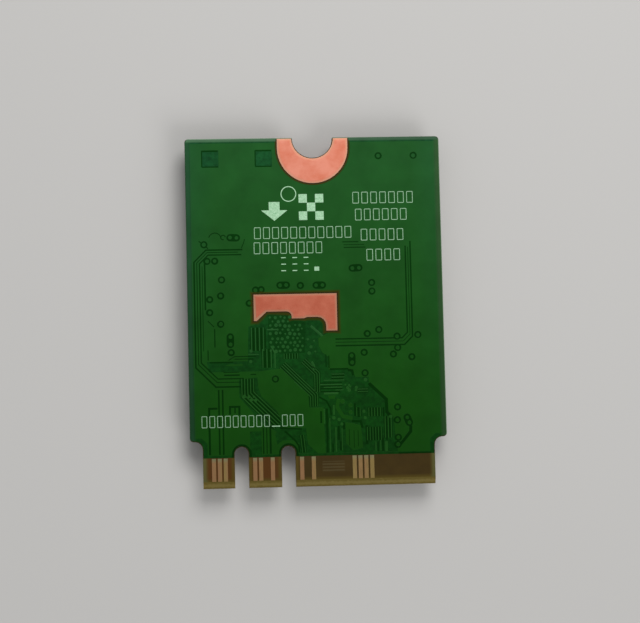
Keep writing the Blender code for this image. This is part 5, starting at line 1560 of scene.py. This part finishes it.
class CARD_OT_solder(bpy.types.Operator):
    """Run solder along the feet of the shield frame"""

    bl_idname = "card.solder"
    bl_label = "Solder fillets"

    def execute(self, context):
        fillet = context.scene.card_solder.fillet
        solder = surface("reflowed_solder", solder_finish)
        crown = FILLET_CROWN_SHARE * fillet
        inputs = {
            "Foot Width": fillet, "Crown Width": crown, "Lean": (fillet - crown) / 2, "Height": fillet,
            "Bend Radius": 0.0, "Material": solder,
        }
        outside = fillet / 2 / MM
        runs = [moved_sides(run, outside, False) for run in foot_runs()]
        paths = path_mesh("solder_paths", runs, [], front_low)
        mesh = run_tree("solder_fillets", paths, swept_strip_tree(), inputs, -1)
        add_piece("solder_fillets", mesh, solder)
        return {"FINISHED"}


# Finishes of the CAD's nodes: the material, its finish, and what the names of its nodes start with
CAD_FINISHES = [
    ("glass_epoxy_laminate", laminate_finish, ("circuit_board",)),
    ("plated_hard_gold", hard_gold_finish, ("contact_", "receptacle_shell", "receptacle_pin")),
    ("moulded_liquid_crystal_polymer", moulded_plastic_finish, ("receptacle_base",)),
    ("rolled_nickel_silver", nickel_silver_finish, ("shield_", "reference_crystal")),
    ("transfer_moulded_epoxy", moulding_compound_finish,
     ("radio_chip", "memory_chip", "voltage_regulator", "front_end_module")),
]
# Chip parts: the darkest and the lightest of their sintered body
SINTERED_BODIES = {
    "band_filter": ("#C9BFA8", "#DED6C4"), "diplexer": ("#CBC3B4", "#E2DCD0"),
    "bulk_capacitor": ("#8A7156", "#A58A6C"), "power_inductor": ("#3A3836", "#55524E"),
}


class CARD_OT_finishes(bpy.types.Operator):
    """Give every carried-over CAD node the finish of its real material"""

    bl_idname = "card.finishes"
    bl_label = "Finishes of the CAD nodes"

    def execute(self, context):
        replaced = ("solder_mask", *[plate[0] for plate in COPPER_PLATES])
        for name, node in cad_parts.items():
            if name.startswith(replaced):
                continue
            known = [(title, finish) for title, finish, starts in CAD_FINISHES if name.startswith(starts)]
            if known:
                material = surface(*known[0])
            else:
                body = next(body for body in SINTERED_BODIES if name.startswith(body))
                material = surface("sintered_" + name, sintered_finish, name, *SINTERED_BODIES[body])
            for slot in node.material_slots:
                slot.material = material
        return {"FINISHED"}


class CARD_OT_stage(bpy.types.Operator):
    """Set up the floor, the light and the camera of the photograph"""

    bl_idname = "card.stage"
    bl_label = "Stage"

    def execute(self, context):
        scene = context.scene
        settings = scene.card_stage
        half = 2.0
        mesh = bpy.data.meshes.new("floor")
        mesh.from_pydata([(-half, -half, 0), (half, -half, 0), (half, half, 0), (-half, half, 0)], [],
                         [(0, 1, 2, 3)])
        mesh.materials.append(surface("matt_pale_board", pale_board_finish))
        floor = bpy.data.objects.new("floor", mesh)
        scene.collection.objects.link(floor)

        world = scene.world or bpy.data.worlds.new("studio")
        scene.world = world
        world.use_nodes = True
        background = world.node_tree.nodes["Background"]
        background.inputs["Color"].default_value = from_hex("#F4F6F8")
        background.inputs["Strength"].default_value = settings.sky
        for name, place, size, power in (
                ("soft_box_key", (0.05, 0.16, 0.19), 0.15, 0.36),
                ("soft_box_fill", (0.35, -0.45, 0.42), 0.4, 1.6)):
            lamp = bpy.data.lights.new(name, "AREA")
            lamp.size = size
            lamp.energy = power
            light = bpy.data.objects.new(name, lamp)
            light.location = place
            light.rotation_euler = (-Vector(place)).to_track_quat("-Z", "Y").to_euler()
            scene.collection.objects.link(light)

        # The camera, fitted to the card's corners in the photograph
        target = Vector((0.34, -0.07, 2.2)) * MM
        lean_x, lean_y, roll = (math.radians(angle) for angle in (-3.86, -4.04, -1.38))
        towards_eye = Vector((math.sin(lean_x), math.sin(lean_y), 0.0))
        towards_eye.z = math.sqrt(1.0 - towards_eye.length_squared)
        right = (-towards_eye).cross(Vector((-math.sin(roll), math.cos(roll), 0.0))).normalized()
        up = right.cross(-towards_eye)
        camera_data = bpy.data.cameras.new("photograph")
        camera_data.lens = settings.lens
        camera_data.sensor_width = 36.0
        camera_data.clip_start = 0.005
        camera_data.clip_end = 20.0
        camera = bpy.data.objects.new("photograph", camera_data)
        axes = Matrix((right, up, towards_eye)).transposed().to_4x4()
        camera.matrix_world = Matrix.Translation(target + towards_eye * settings.distance) @ axes
        scene.collection.objects.link(camera)
        scene.camera = camera
        scene.view_settings.view_transform = "Standard"
        return {"FINISHED"}


OPERATORS = (
    CARD_OT_solder_mask_back, CARD_OT_solder_mask_front, CARD_OT_tracks, CARD_OT_via_lands,
    CARD_OT_copper_plates, CARD_OT_legend, CARD_OT_solder, CARD_OT_finishes, CARD_OT_stage,
)
SETTINGS = {
    "card_mask": CardMaskSettings, "card_legend": CardLegendSettings,
    "card_solder": CardSolderSettings, "card_stage": CardStageSettings,
}


class CARD_PT_panel(bpy.types.Panel):
    """The card's pieces and their settings"""

    bl_idname = "CARD_PT_panel"
    bl_label = "Wireless card"
    bl_space_type = "VIEW_3D"
    bl_region_type = "UI"
    bl_category = "Wireless card"

    def draw(self, context):
        for title in SETTINGS:
            group = getattr(context.scene, title)
            box = self.layout.box()
            for key in group.bl_rna.properties.keys():
                if key not in ("rna_type", "name"):
                    box.prop(group, key)
        for operator in OPERATORS:
            self.layout.operator(operator.bl_idname)


def register():
    for group in SETTINGS.values():
        bpy.utils.register_class(group)
    for title, group in SETTINGS.items():
        setattr(bpy.types.Scene, title, PointerProperty(type=group))
    for operator in OPERATORS:
        bpy.utils.register_class(operator)
    bpy.utils.register_class(CARD_PT_panel)


def unregister():
    bpy.utils.unregister_class(CARD_PT_panel)
    for operator in reversed(OPERATORS):
        bpy.utils.unregister_class(operator)
    for title in SETTINGS:
        delattr(bpy.types.Scene, title)
    for group in SETTINGS.values():
        bpy.utils.unregister_class(group)


def main():
    register()
    for operator in OPERATORS:
        name = operator.bl_idname.split(".")[1]
        getattr(bpy.ops.card, name)()


if __name__ == "__main__":
    main()
